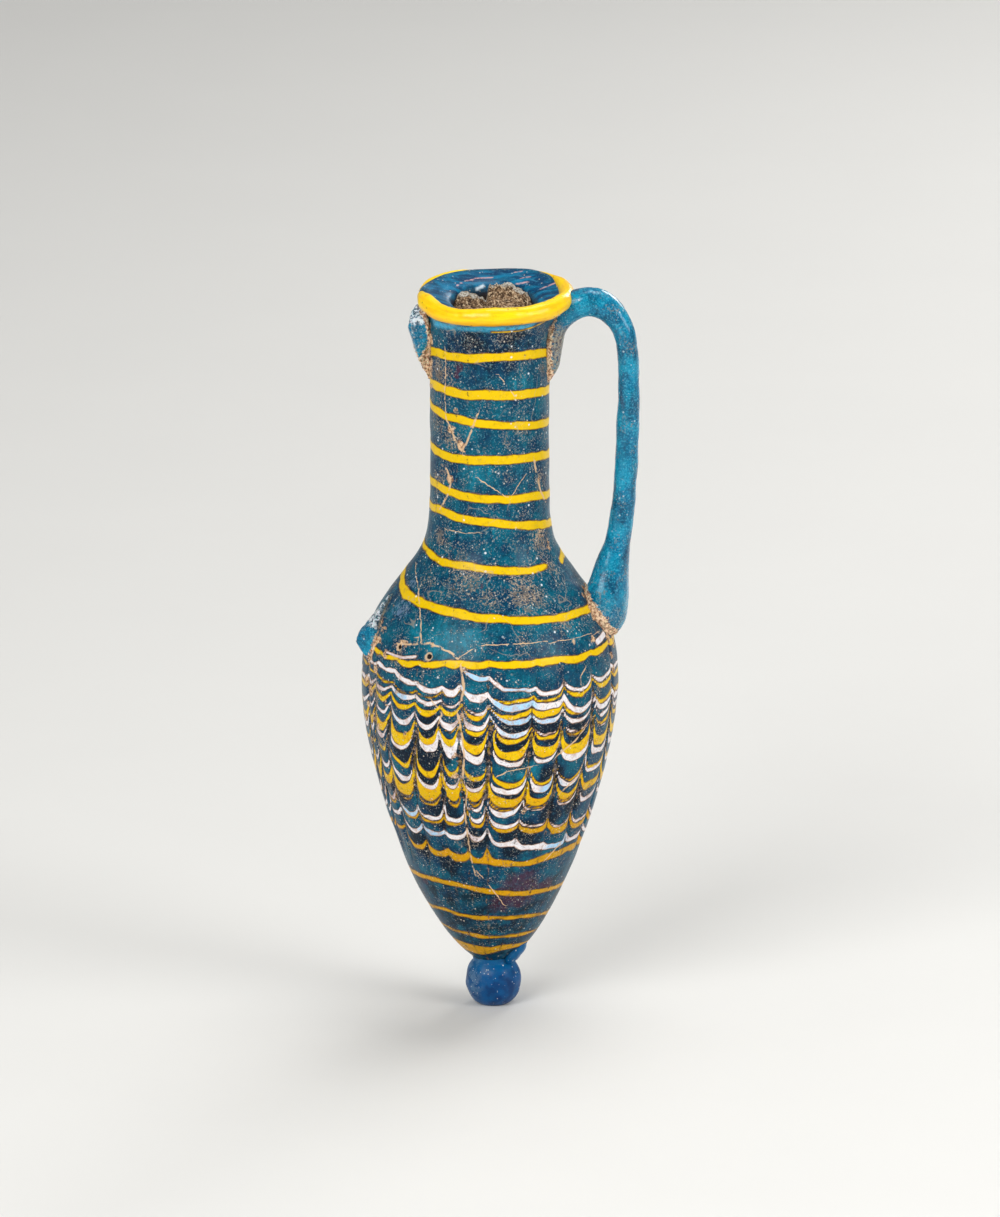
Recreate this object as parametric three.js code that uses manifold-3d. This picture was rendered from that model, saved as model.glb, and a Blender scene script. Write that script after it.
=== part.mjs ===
// A core-formed glass amphoriskos, about 180 mm tall, standing on its ball knob.
//
// The vessel is one hollow wall of dark blue glass: an egg-shaped body that was combed upwards,
// a sloping shoulder, a tall cylindrical neck and a flat, slightly dished mouth. The parts that
// were put on hot are solids of their own: the yellow coil round the mouth, the ball knob, the
// handle that survives on the right, and the two roots of the handle broken off on the left.
//
// Millimetres, +Z up. The origin is on the vessel's axis, on the ground under the knob.
// Turns are angles round +Z from the front (-Y) towards the right (+X), in degrees.
import * as THREE from "three";
import { mergeVertices } from "three/addons/utils/BufferGeometryUtils.js";
import Module from "manifold-3d";

const wasm = await Module();
wasm.setup();

// Driving dimensions of the vessel.
const bodyFoot = 11.6; // height where the body grows out of the knob
const bodyWidest = 82.5; // height of the widest ring
const bodyRadius = 31.2;
const neckFoot = 120; // height where the shoulder has become the neck
const neckRadius = 14.4;
const boreRadius = 10.2; // opening through the neck
const rimTop = 179.5; // height of the mouth's flat upper face, on the axis
const rimRadius = 18.4;
const rimThick = 3.2;
const dishRadius = 14.6; // where the mouth starts to sink towards the bore
const cavityFoot = 19; // lowest point of the hollow
const joint = 0.3; // gap kept between a piece and the one it was put on

// Driving dimensions of the pieces that were put on hot.
const knobRadius = 6.65;
const knobCentre = 6.35; // height of the ball's widest ring
const knobDepth = 7.1; // lets the ball run on a little below the ground, where it is cut flat
const knobShift = 0.9; // the knob sits a little towards the handle
const knobFlat = 3.7; // radius of the flat that it stands on
const knobNeck = 4.95; // radius where it meets the body
const coilHigh = 2.2; // half height of the yellow coil's section
const coilWide = 1.9; // half width of the yellow coil's section
const coilRing = 17.7; // radius of the coil's centre line
const coilFrom = -80; // turn of the coil's blunt end
const coilTo = 262; // turn where its thin tail ends

// How far the hand-made vessel strays from a true turned shape.
const rimLean = 4.5; // degrees by which the mouth tips forward
const rimShift = 1; // the mouth's centre lies a little towards the handle
const rimWave = 0.35; // height of the uneven waves along the mouth's edge
const footShift = 0.6; // the body's lower end lies a little towards the handle

// The combing: strokes of a point drawn up through the soft glass. The front strokes are placed
// one by one, and the rest share what is left of the circle.
const frontStrokes = [-71.6, -62.9, -50.1, -34.8, -21.9, -13.6, -0.1, 21.2, 35.4, 54.4, 73.5];
const backStrokes = 12;
const strokeDepth = 0.4;
const combedFrom = 37;
const combedTo = 95;
const combFade = 7; // height over which a groove dies out at either end

// Outline of the outer wall: height and radius, from the knob to the underside of the mouth.
const outerWall = [
  [bodyFoot, 4.4],
  [12.6, 5.5],
  [14.4, 7.5],
  [17.5, 10.2],
  [22, 13.2],
  [30, 17.5],
  [40, 21.7],
  [52, 25.8],
  [64, 29],
  [74, 30.7],
  [bodyWidest, bodyRadius],
  [88, 30.9],
  [93, 30],
  [98, 28.1],
  [103, 25.2],
  [107, 22.4],
  [110.5, 19.8],
  [114, 17.5],
  [neckFoot - 2, 15.7],
  [neckFoot + 5, 14.7],
  [142, neckRadius],
  [168, 14.7],
  [173.5, 15.5],
  [rimTop - rimThick, 17],
];

// Outline of the hollow, from its lowest point to the bore and out over the dished mouth.
const innerWall = [
  [cavityFoot, 0],
  [cavityFoot + 1.2, 4.4],
  [26, 10.6],
  [37, 16.4],
  [50, 21.4],
  [64, 25.2],
  [76, 27],
  [86, 26.8],
  [94, 24.8],
  [101, 21],
  [107, 16.6],
  [113, 12.8],
  [neckFoot, 10.9],
  [130, boreRadius],
  [rimTop - 7, boreRadius],
  [rimTop - 4, boreRadius + 0.5],
  [rimTop - 2.2, boreRadius + 1.7],
  [rimTop - 1, boreRadius + 3.2],
  [rimTop - 0.6, dishRadius],
];

const colours = {
  vessel: { color: 0x12385c, roughness: 0.42, metalness: 0 },
  yellow: { color: 0xe8b814, roughness: 0.4, metalness: 0 },
  turquoise: { color: 0x0f6f96, roughness: 0.35, metalness: 0 },
  knob: { color: 0x145a92, roughness: 0.3, metalness: 0 },
};

const radians = THREE.MathUtils.degToRad;
const easeStep = (low, high, at) => THREE.MathUtils.smoothstep(at, low, high);
const sumOf = (numbers) => numbers.reduce((sum, number) => sum + number, 0);

// A curve through stations [at, value] that never overshoots them: cubics with limited slopes.
function smoothThrough(stations) {
  const steps = stations.slice(1).map(([at], i) => at - stations[i][0]);
  const rises = steps.map((step, i) => (stations[i + 1][1] - stations[i][1]) / step);
  const slopes = stations.map((_, i) => {
    if (i === 0) return rises[0];
    if (i === rises.length) return rises[i - 1];
    if (rises[i - 1] * rises[i] <= 0) return 0;
    const before = 2 * steps[i] + steps[i - 1];
    const after = steps[i] + 2 * steps[i - 1];
    return (before + after) / (before / rises[i - 1] + after / rises[i]);
  });
  return (at) => {
    let i = 0;
    while (i < steps.length - 1 && at > stations[i + 1][0]) i += 1;
    const t = (at - stations[i][0]) / steps[i];
    return sumOf([
      (2 * t ** 3 - 3 * t ** 2 + 1) * stations[i][1],
      (t ** 3 - 2 * t ** 2 + t) * steps[i] * slopes[i],
      (3 * t ** 2 - 2 * t ** 3) * stations[i + 1][1],
      (t ** 3 - t ** 2) * steps[i] * slopes[i + 1],
    ]);
  };
}

// Moves every vertex of a geometry by a function of its place.
function reshape(geometry, move) {
  const places = geometry.getAttribute("position");
  const point = new THREE.Vector3();
  for (let i = 0; i < places.count; i += 1) {
    point.fromBufferAttribute(places, i);
    move(point);
    places.setXYZ(i, point.x, point.y, point.z);
  }
  return geometry;
}

// A body of revolution about +Z. Its outline runs upwards on the outside, as [radius, height].
function turned(outline, segments) {
  const points = outline.map(([radius, height]) => new THREE.Vector2(radius, height));
  return new THREE.LatheGeometry(points, segments).rotateX(Math.PI / 2);
}

function solidFrom(geometry) {
  const bare = geometry.clone();
  bare.deleteAttribute("normal");
  bare.deleteAttribute("uv");
  const merged = mergeVertices(bare, 1e-4);
  return new wasm.Manifold(
    new wasm.Mesh({
      numProp: 3,
      vertProperties: merged.getAttribute("position").array,
      triVerts: new Uint32Array(merged.index.array),
    }),
  );
}

function geometryFrom(solid) {
  const made = solid.getMesh();
  const geometry = new THREE.BufferGeometry();
  geometry.setAttribute("position", new THREE.BufferAttribute(made.vertProperties, 3));
  geometry.setIndex(new THREE.BufferAttribute(made.triVerts, 1));
  geometry.computeVertexNormals();
  return geometry;
}

// Turns a true turned shape into the hand-made one: the lower end shifts towards the handle,
// and the mouth shifts, tips forward and waves.
function stray(point) {
  const angle = Math.atan2(point.x, -point.y);
  const atMouth = easeStep(rimTop - 12, rimTop - 3, point.z);
  const atFoot = 1 - easeStep(bodyFoot, 36, point.z);
  const wave = rimWave * (Math.sin(3 * angle + 0.4) + 0.6 * Math.sin(5 * angle + 1.9));
  const reach = Math.hypot(point.x, point.y) / rimRadius;
  point.z += atMouth * (Math.tan(radians(rimLean)) * point.y + wave * reach ** 2);
  point.x += atMouth * rimShift + atFoot * footShift;
}

// Turns of every ring vertex of the outer wall: one at each stroke and two between strokes.
function ringTurns() {
  const gap = (360 + frontStrokes[0] - frontStrokes.at(-1)) / (backStrokes + 1);
  const strokes = [...frontStrokes];
  for (let i = 1; i <= backStrokes; i += 1) strokes.push(frontStrokes.at(-1) + gap * i);
  return strokes.flatMap((turn, i) => {
    const next = strokes[i + 1] ?? strokes[0] + 360;
    return [turn, turn + (next - turn) / 3, turn + (2 * (next - turn)) / 3];
  });
}

// The outer wall as a closed solid. With "grow" it is that much fatter all round, to cut away
// what other pieces have in common with the vessel.
function outerSolid(grow = 0) {
  const turns = ringTurns();
  const rimFoot = rimTop - rimThick;
  const outline = [
    [0, bodyFoot - grow],
    ...outerWall.map(([height, radius]) => [radius + grow, height === bodyFoot ? height - grow : height]),
    [rimRadius - 0.4 + grow, rimFoot + 0.6 - grow],
    [rimRadius + grow, rimFoot + rimThick / 2],
    [rimRadius - 0.3 + grow, rimTop - 0.5 + grow],
    [rimRadius - 1.1 + grow, rimTop + grow],
    [dishRadius, rimTop - 0.6 + grow],
    [0, rimTop - 0.6 + grow],
  ];
  return reshape(turned(outline, turns.length), (point) => {
    const radius = Math.hypot(point.x, point.y);
    const share = Math.atan2(point.x, -point.y) / (2 * Math.PI);
    const index = Math.round(share * turns.length + turns.length) % turns.length;
    const above = easeStep(combedFrom, combedFrom + combFade, point.z);
    const below = 1 - easeStep(combedTo - combFade, combedTo, point.z);
    const dent = index % 3 === 0 ? strokeDepth * above * below : 0;
    const angle = radians(turns[index]);
    point.x = (radius - dent) * Math.sin(angle);
    point.y = -(radius - dent) * Math.cos(angle);
    stray(point);
  });
}

function hollowSolid() {
  const outline = innerWall.map(([height, radius]) => [radius, height]);
  outline.push([dishRadius, rimTop + 3]);
  outline.push([0, rimTop + 3]);
  return reshape(turned(outline, 36), stray);
}

function vesselBody() {
  return solidFrom(outerSolid()).subtract(solidFrom(hollowSolid()));
}

// A closed tube along a route of stations {at, wide, deep}. A section is an ellipse: "deep" is
// its half size along the side direction, "wide" its half size square to that and to the route.
function lofted(route, side, ringsPerStation, sides) {
  const path = new THREE.CatmullRomCurve3(
    route.map(({ at }) => new THREE.Vector3(...at)),
    false,
    "centripetal",
  );
  const wideAt = smoothThrough(route.map(({ wide }, i) => [i, wide]));
  const deepAt = smoothThrough(route.map(({ deep }, i) => [i, deep]));
  const spans = route.length - 1;
  const rings = Math.round(spans * ringsPerStation);
  const places = [];
  const faces = [];
  for (let ring = 0; ring <= rings; ring += 1) {
    const centre = path.getPoint(ring / rings);
    const along = path.getTangent(ring / rings);
    const across = new THREE.Vector3().crossVectors(side, along).normalize();
    const station = (ring / rings) * spans;
    for (let k = 0; k < sides; k += 1) {
      const angle = (k / sides) * 2 * Math.PI;
      const spot = centre.clone();
      spot.addScaledVector(across, wideAt(station) * Math.cos(angle));
      spot.addScaledVector(side, deepAt(station) * Math.sin(angle));
      places.push(spot.x, spot.y, spot.z);
    }
  }
  for (let ring = 0; ring < rings; ring += 1) {
    for (let k = 0; k < sides; k += 1) {
      const here = ring * sides + k;
      const beside = ring * sides + ((k + 1) % sides);
      faces.push(here, beside, beside + sides, here, beside + sides, here + sides);
    }
  }
  const last = rings * sides;
  for (let k = 1; k < sides - 1; k += 1) {
    faces.push(0, k + 1, k);
    faces.push(last, last + k, last + k + 1);
  }
  const geometry = new THREE.BufferGeometry();
  geometry.setAttribute("position", new THREE.BufferAttribute(new Float32Array(places), 3));
  geometry.setIndex(faces);
  return solidFrom(geometry);
}

// Stations of a handle: distance from the axis, height, half thickness seen from the front, and
// half thickness seen from the side. The handle stands upright in the plane of its turn.
function handleLoft(stations, turn, ringsPerStation, sides) {
  const angle = radians(turn);
  const route = stations.map(([out, up, wide, deep]) => ({
    at: [out * Math.sin(angle), -out * Math.cos(angle), up],
    wide,
    deep,
  }));
  const side = new THREE.Vector3(Math.cos(angle), Math.sin(angle), 0);
  return lofted(route, side, ringsPerStation, sides);
}

// Up from the neck and out under the coil, over the arch, straight down, and broadening into a
// pad that was pressed onto the shoulder.
function handle(cutter) {
  const stations = [
    [14.7, 158.8, 0.7, 1.6],
    [15.1, 162.5, 2.1, 3.2],
    [15.6, 166.7, 2.2, 4],
    [16.4, 171.5, 2.6, 4.2],
    [19.4, 176, 3.5, 3.9],
    [24.3, 177.7, 3.6, 3.5],
    [28.8, 176.2, 3.3, 3.3],
    [32.1, 172.1, 2.7, 3.2],
    [33.5, 166.6, 2.5, 3.1],
    [33.9, 157, 2.7, 3.1],
    [33.2, 135.7, 2.8, 3.2],
    [32.6, 127, 2.85, 3.3],
    [31.4, 118.4, 3.1, 3.7],
    [29.8, 111.3, 4.2, 5],
    [28.8, 104.9, 5.2, 6.6],
    [27.8, 99.9, 5.8, 6.6],
    [26.6, 95.9, 4.6, 4.4],
  ];
  return handleLoft(stations, 84, 2.5, 12).subtract(cutter);
}

// What is left on the neck of the other handle: a strap that has just parted from the neck.
function neckStub(cutter) {
  const stations = [
    [14.4, 158.2, 0.6, 1.6],
    [14.9, 162.4, 1.6, 3],
    [16, 166.8, 2.6, 3.8],
    [17, 171.2, 2.6, 4],
    [17.2, 174.4, 1.9, 3.2],
    [17, 176, 1.2, 2.4],
  ];
  return handleLoft(stations, -86, 2, 10).subtract(cutter);
}

// What is left on the shoulder of the other handle: a pad with a broken spur at its lower end.
function shoulderStub(cutter) {
  const stations = [
    [24.6, 105, 1, 2.4],
    [26.8, 101.5, 1.6, 4],
    [28.9, 97.5, 1.8, 4.8],
    [30.6, 94, 2.4, 4.6],
    [31.4, 91.2, 2.6, 3.8],
    [31.2, 89.6, 1.8, 2.8],
  ];
  return handleLoft(stations, -75, 2, 10).subtract(cutter);
}

// The yellow coil: one trail laid round the mouth's edge, thick from its blunt end at the left
// over the front to the right, then thinning and sinking a little below the edge behind.
function rimCoil(grow = 0) {
  const steps = 18;
  const route = [];
  for (let i = 0; i <= steps; i += 1) {
    const turn = coilFrom + ((coilTo - coilFrom) * i) / steps;
    const behind = easeStep(108, 155, turn);
    const thin = (1 - 0.55 * behind) * (i === 0 ? 0.8 : 1);
    const ring = coilRing + 0.7 * behind;
    const point = new THREE.Vector3(
      ring * Math.sin(radians(turn)),
      -ring * Math.cos(radians(turn)),
      rimTop - 0.3 - 0.9 * behind,
    );
    stray(point);
    route.push({ at: point.toArray(), wide: coilWide * thin + grow, deep: coilHigh * thin + grow });
  }
  return lofted(route, new THREE.Vector3(0, 0, 1), 2, 8);
}

// The ball knob: a ball cut flat below, a short neck, and a pad of its glass that was smeared up
// the right side of the body.
function baseKnob(cutter) {
  const squareness = 2.4; // a little fuller below than a true ball
  const ball = (height) => {
    const below = Math.max(knobCentre - height, 0) / knobDepth;
    const above = Math.max(height - knobCentre, 0) / knobRadius;
    return knobRadius * (1 - below ** squareness) ** (1 / squareness) * Math.sqrt(1 - above ** 2);
  };
  const top = bodyFoot - joint;
  const outline = [
    [0, 0],
    [knobFlat, 0],
  ];
  for (const height of [0.6, 1.4, 2.4, 3.8, knobCentre, 8, 9.3, 10.2]) {
    outline.push([ball(height), height]);
  }
  outline.push([knobNeck, top], [0, top]);
  const smear = new THREE.SphereGeometry(1, 14, 8).scale(2, 4.4, 4.2);
  smear.rotateY(radians(36)).translate(6.3, -1.8, 14.2);
  const knob = solidFrom(turned(outline, 24).translate(knobShift, 0, 0));
  return knob.add(solidFrom(smear).subtract(cutter));
}

function piece(name, solid, look) {
  const mesh = new THREE.Mesh(geometryFrom(solid), new THREE.MeshStandardMaterial(look));
  mesh.name = name;
  return mesh;
}

const nearVessel = solidFrom(outerSolid(joint));
const nearVesselAndCoil = nearVessel.add(rimCoil(joint));

const amphoriskos = new THREE.Group();
amphoriskos.add(
  piece("vessel_body", vesselBody(), colours.vessel),
  piece("rim_coil", rimCoil().subtract(nearVessel), colours.yellow),
  piece("base_knob", baseKnob(nearVessel), colours.knob),
  piece("handle", handle(nearVesselAndCoil), colours.turquoise),
  piece("handle_stub_neck", neckStub(nearVesselAndCoil), colours.turquoise),
  piece("handle_stub_shoulder", shoulderStub(nearVessel), colours.turquoise),
);

export default amphoriskos;
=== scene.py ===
import math

import bpy
import numpy as np
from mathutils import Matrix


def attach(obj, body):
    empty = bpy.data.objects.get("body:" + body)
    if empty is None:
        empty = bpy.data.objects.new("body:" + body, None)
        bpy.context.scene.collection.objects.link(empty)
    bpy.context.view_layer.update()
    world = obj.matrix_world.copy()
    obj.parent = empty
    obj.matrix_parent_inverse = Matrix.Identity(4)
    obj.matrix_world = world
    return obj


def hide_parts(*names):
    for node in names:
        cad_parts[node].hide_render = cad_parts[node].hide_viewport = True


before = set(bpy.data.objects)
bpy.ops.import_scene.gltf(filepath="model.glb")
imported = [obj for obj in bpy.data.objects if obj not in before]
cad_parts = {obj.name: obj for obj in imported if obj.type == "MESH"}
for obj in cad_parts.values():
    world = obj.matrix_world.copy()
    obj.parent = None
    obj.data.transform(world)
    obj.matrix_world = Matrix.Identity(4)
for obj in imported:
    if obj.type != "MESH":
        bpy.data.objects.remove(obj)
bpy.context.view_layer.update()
mm = 0.001
bpy.context.scene.view_settings.view_transform = "Standard"
print("frame loaded")

# How the photograph sees the flask. Its pixels are only used to place things on the surface.
photo = {
    "wide": 1000,
    "high": 1217,
    "mmPerPx": 0.243,
    "axisX": 489.7,  # where the origin stands in the picture
    "groundY": 1003,
    "elevation": 16,  # degrees above the horizon
    "distance": 8.0,  # metres; a long lens keeps the picture almost parallel
    "sensor": 36.0,
}
photoUp = math.cos(math.radians(photo["elevation"]))
photoNear = math.sin(math.radians(photo["elevation"]))


def placeObject(name, data):
    thing = bpy.data.objects.new(name, data)
    bpy.context.collection.objects.link(thing)
    return thing


def makeCamera():
    metresPerPx = photo["mmPerPx"] * mm
    data = bpy.data.cameras.new("photo_camera")
    data.sensor_width = photo["sensor"]
    data.sensor_fit = "HORIZONTAL"
    data.lens = photo["sensor"] * photo["distance"] / (photo["wide"] * metresPerPx)
    data.clip_end = 100
    camera = placeObject("photo_camera", data)
    centreX = (photo["wide"] / 2 - photo["axisX"]) * metresPerPx
    centreZ = (photo["groundY"] - photo["high"] / 2) * metresPerPx / photoUp
    away = photo["distance"]
    camera.location = (centreX, -away * photoUp, centreZ + away * photoNear)
    camera.rotation_euler = (math.radians(90 - photo["elevation"]), 0, 0)
    bpy.context.scene.camera = camera


makeCamera()
print("camera placed")


# Smooth step from 0 at low to 1 at high.
def easeStep(low, high, at):
    t = np.clip((at - low) / (high - low), 0, 1)
    return t * t * (3 - 2 * t)


# A curve through knots (at, value) that never overshoots: cubics with limited slopes.
def smoothThrough(knots, values, at):
    knots, values = np.asarray(knots, float), np.asarray(values, float)
    steps = np.diff(knots)
    rises = np.diff(values) / steps
    slopes = np.concatenate([rises[:1], np.zeros(len(knots) - 2), rises[-1:]])
    before, after = 2 * steps[1:] + steps[:-1], steps[1:] + 2 * steps[:-1]
    same = rises[:-1] * rises[1:] > 0
    left, right = np.where(same, rises[:-1], 1), np.where(same, rises[1:], 1)
    slopes[1:-1] = np.where(same, (before + after) / (before / left + after / right), 0)
    i = np.clip(np.searchsorted(knots, at, side="right") - 1, 0, len(steps) - 1)
    t = np.clip((at - knots[i]) / steps[i], 0, 1)
    return (
        (2 * t**3 - 3 * t**2 + 1) * values[i]
        + (t**3 - 2 * t**2 + t) * steps[i] * slopes[i]
        + (3 * t**2 - 2 * t**3) * values[i + 1]
        + (t**3 - t**2) * steps[i] * slopes[i + 1]
    )


# Soft unevenness: a sum of plane waves of about the given length in seeded directions, near -1..1.
def ripples(places, seed, length, count=14):
    draw = np.random.default_rng(seed)
    ways = draw.normal(size=(count, 3))
    ways /= np.linalg.norm(ways, axis=1)[:, None]
    ways *= (2 * np.pi / length * draw.uniform(0.6, 1.7, count))[:, None]
    phases = draw.uniform(0, 2 * np.pi, count)
    return np.sin(places @ ways.T + phases).sum(-1) * math.sqrt(1 / count)


# Several ripples added up: each layer has an amount in mm, a seed and a length in mm.
def waver(places, layers):
    return sum(amount * ripples(places, seed, length) for amount, seed, length in layers)


# How far crust stands out in crumbs, in mm: its share squared, times a base and a ripple.
def crumbRise(crust, places, base, layer):
    return crust**2 * (base + waver(places, [layer]))


# Values out of the line "at", spaced by the step that holds there: the steps are counted along
# the line, and the values are read off at whole counts.
def spacedBy(step, at):
    count = np.concatenate([[0], np.cumsum(1 / step[1:] * np.diff(at))])
    return np.interp(np.linspace(0, count[-1], int(count[-1]) + 1), count, at)


# For each stretch of a line, its way and the gap to every place from the nearest place on it.
def stretches(line, places):
    for start, end in zip(line[:-1], line[1:]):
        way = end - start
        share = np.clip((places - start) @ way / (way @ way), 0, 1)
        yield way, places - start - share[..., None] * way


# A mesh from a grid of places in mm, [row, column, xyz]. Columns close on themselves. Each end
# row is closed by one pole vertex in its middle, unless it already is one.
def gridMesh(name, grid, marks=None):
    rows, columns = grid.shape[:2]
    places = np.vstack([grid.reshape(-1, 3), grid[0].mean(0), grid[-1].mean(0)])
    here = np.arange(columns)
    beside = (here + 1) % columns
    first = (np.arange(rows - 1) * columns)[:, None]
    nextRow = first + columns
    ring = (first + here, first + beside, nextRow + beside, nextRow + here)
    quads = np.stack(ring, -1).reshape(-1, 4)
    low, high, top = rows * columns, rows * columns + 1, (rows - 1) * columns
    fans = [(low + 0 * here, beside, here), (high + 0 * here, top + here, top + beside)]
    fans = np.vstack([np.stack(fan, -1) for fan in fans])
    mesh = bpy.data.meshes.new(name)
    mesh.from_pydata((places * mm).tolist(), [], quads.tolist() + fans.tolist())
    mesh.polygons.foreach_set("use_smooth", np.ones(len(quads) + len(fans), bool))
    corners = np.append(quads, fans)
    across = np.append(np.tile(here / columns, rows), [0.5, 0.5])
    along = np.append(np.repeat(np.arange(rows) / (rows - 1), columns), [0, 1])
    uv = np.stack([across[corners], along[corners]], -1)
    uv[: quads.size, 0] += np.where(quads % columns == 0, [0, 1, 1, 0], 0).ravel()  # the seam
    mesh.uv_layers.new(name="UVMap").data.foreach_set("uv", uv.ravel())
    for mark, values in (marks or {}).items():
        full = np.append(values.ravel(), [values[0].mean(), values[-1].mean()])
        mesh.attributes.new(mark, "FLOAT", "POINT").data.foreach_set("value", full)
    mesh.validate()
    return mesh


# Several meshes as one, with their marks kept.
def joinedMesh(name, meshes):
    made = [placeObject(mesh.name, mesh) for mesh in meshes]
    bpy.ops.object.select_all(action="DESELECT")
    for one in made:
        one.select_set(True)
    bpy.context.view_layer.objects.active = made[0]
    bpy.ops.object.join()
    whole = made[0].data
    whole.name = name
    bpy.data.objects.remove(made[0])
    return whole


# A piece on the part's only body, with the solids it stands for hidden.
def addPiece(name, mesh, material, nodes=()):
    piece = placeObject(name, mesh)
    mesh.materials.clear()
    mesh.materials.append(material)
    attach(piece, "root")
    if nodes:
        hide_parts(*nodes)
    print("made", name, len(mesh.polygons), "faces")


class Wire:  # an output socket; arithmetic with it adds Math nodes
    def __init__(self, bench, socket):
        self.bench = bench
        self.socket = socket

    def __abs__(self):
        return self.bench.math("ABSOLUTE", self, 0)


# One operator of Wire in both forms, so that 1 - mask works as well as mask - 1.
def addOperator(name, operation):
    def plain(self, other):
        return self.bench.math(operation, self, other)

    def reflected(self, other):
        return self.bench.math(operation, other, self)

    setattr(Wire, f"__{name}__", plain)
    setattr(Wire, f"__r{name}__", reflected)


operators = {"add": "ADD", "sub": "SUBTRACT", "mul": "MULTIPLY", "truediv": "DIVIDE"}
for name, operation in operators.items():
    addOperator(name, operation)


def colour(red, green, blue):  # from the 0..255 values that a screen shows
    lit = [(c / 255 + 0.055) / 1.055 for c in (red, green, blue)]
    return tuple(max(c, 0) ** 2.4 for c in lit) + (1.0,)


# The node tree of one material. Its tones are called by name, its noises become values of its
# own, such as b.sand, and each coat is mixed over the look so far by its share.
class Bench:
    def __init__(self, name, tones, noises=None):
        self.material = bpy.data.materials.new(name)
        self.material.use_nodes = True
        self.tree = self.material.node_tree
        self.tree.nodes.clear()
        self.tones = {key: colour(*value) for key, value in tones.items()}
        self.place = self.scaled(self.add("ShaderNodeTexCoord", out="Object"), (1000, 1000, 1000))
        for key, value in (noises or {}).items():
            setattr(self, key, self.noise(*value))

    def add(self, kind, settings=None, inputs=None, out=0):
        node = self.tree.nodes.new(kind)
        for key, value in (settings or {}).items():
            setattr(node, key, value)
        for key, value in (inputs or {}).items():
            if isinstance(value, Wire):
                self.tree.links.new(value.socket, node.inputs[key])
            else:
                node.inputs[key].default_value = value
        return Wire(self, node.outputs[out])

    def math(self, operation, first, second):
        return self.add("ShaderNodeMath", {"operation": operation}, {0: first, 1: second})

    def most(self, first, second):
        return self.math("MAXIMUM", first, second)

    def scaled(self, vector, by):
        return self.add("ShaderNodeVectorMath", {"operation": "MULTIPLY"}, {0: vector, 1: by})

    def part(self, vector, axis):
        return self.add("ShaderNodeSeparateXYZ", inputs={0: vector}, out=axis)

    def mark(self, name):
        return self.add("ShaderNodeAttribute", {"attribute_name": name}, out="Fac")

    def ease(self, low, high, value):  # 0 at low, 1 at high
        ends = {"Value": value, "From Min": low, "From Max": high}
        return self.add("ShaderNodeMapRange", {"interpolation_type": "SMOOTHSTEP"}, ends)

    def noise(self, size, detail=3, rough=0.55, place=None):  # size of its lumps in mm
        sockets = {"Vector": place or self.place, "Scale": 1 / size, "Detail": detail}
        return self.add("ShaderNodeTexNoise", inputs=sockets | {"Roughness": rough})

    def ragged(self, base, **amounts):  # a value with the bench's own noises round it
        for name, amount in amounts.items():
            base = base + (getattr(self, name) - 0.5) * amount
        return base

    def grains(self, size, share):  # round specks in a share of the cells of a size
        sockets = {"Vector": self.place, "Scale": 1 / size}
        near = self.add("ShaderNodeTexVoronoi", {"feature": "F1"}, sockets)
        hue = self.part(Wire(self, near.socket.node.outputs["Color"]), "X")
        return self.ease(0.34, 0.2, near) * self.ease(share, share - 0.02, hue)

    def hairs(self, size, seed):  # thin wandering lines: where a smooth noise crosses its middle
        inputs = {0: self.place, 1: (seed, 0, -seed)}
        shifted = self.add("ShaderNodeVectorMath", {"operation": "ADD"}, inputs)
        line = abs(self.noise(size, 2, 0.5, shifted) - 0.5)
        gate = self.ease(0.5, 0.62, self.noise(size * 0.8, 2, 0.5))
        return self.ease(0.011, 0.003, line) * gate

    def mix(self, share, first, second):  # each a wire or the name of a tone
        first, second = (t if isinstance(t, Wire) else self.tones[t] for t in (first, second))
        settings = {"data_type": "RGBA", "blend_type": "MIX"}
        return self.add("ShaderNodeMix", settings, {0: share, 6: first, 7: second}, out=2)

    def coat(self, share, tone):
        self.look = self.mix(share, self.look, tone)

    def bump(self, height, distance, strength=1.0):  # distance in mm
        sockets = {"Height": height, "Distance": distance * mm, "Strength": strength}
        return self.add("ShaderNodeBump", inputs=sockets, out="Normal")

    def finish(self, sockets):
        sockets = {"Base Color": self.look} | sockets
        shader = self.add("ShaderNodeBsdfPrincipled", inputs=sockets, out="BSDF")
        end = self.tree.nodes.new("ShaderNodeOutputMaterial")
        self.tree.links.new(shader.socket, end.inputs["Surface"])
        return self.material


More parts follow.
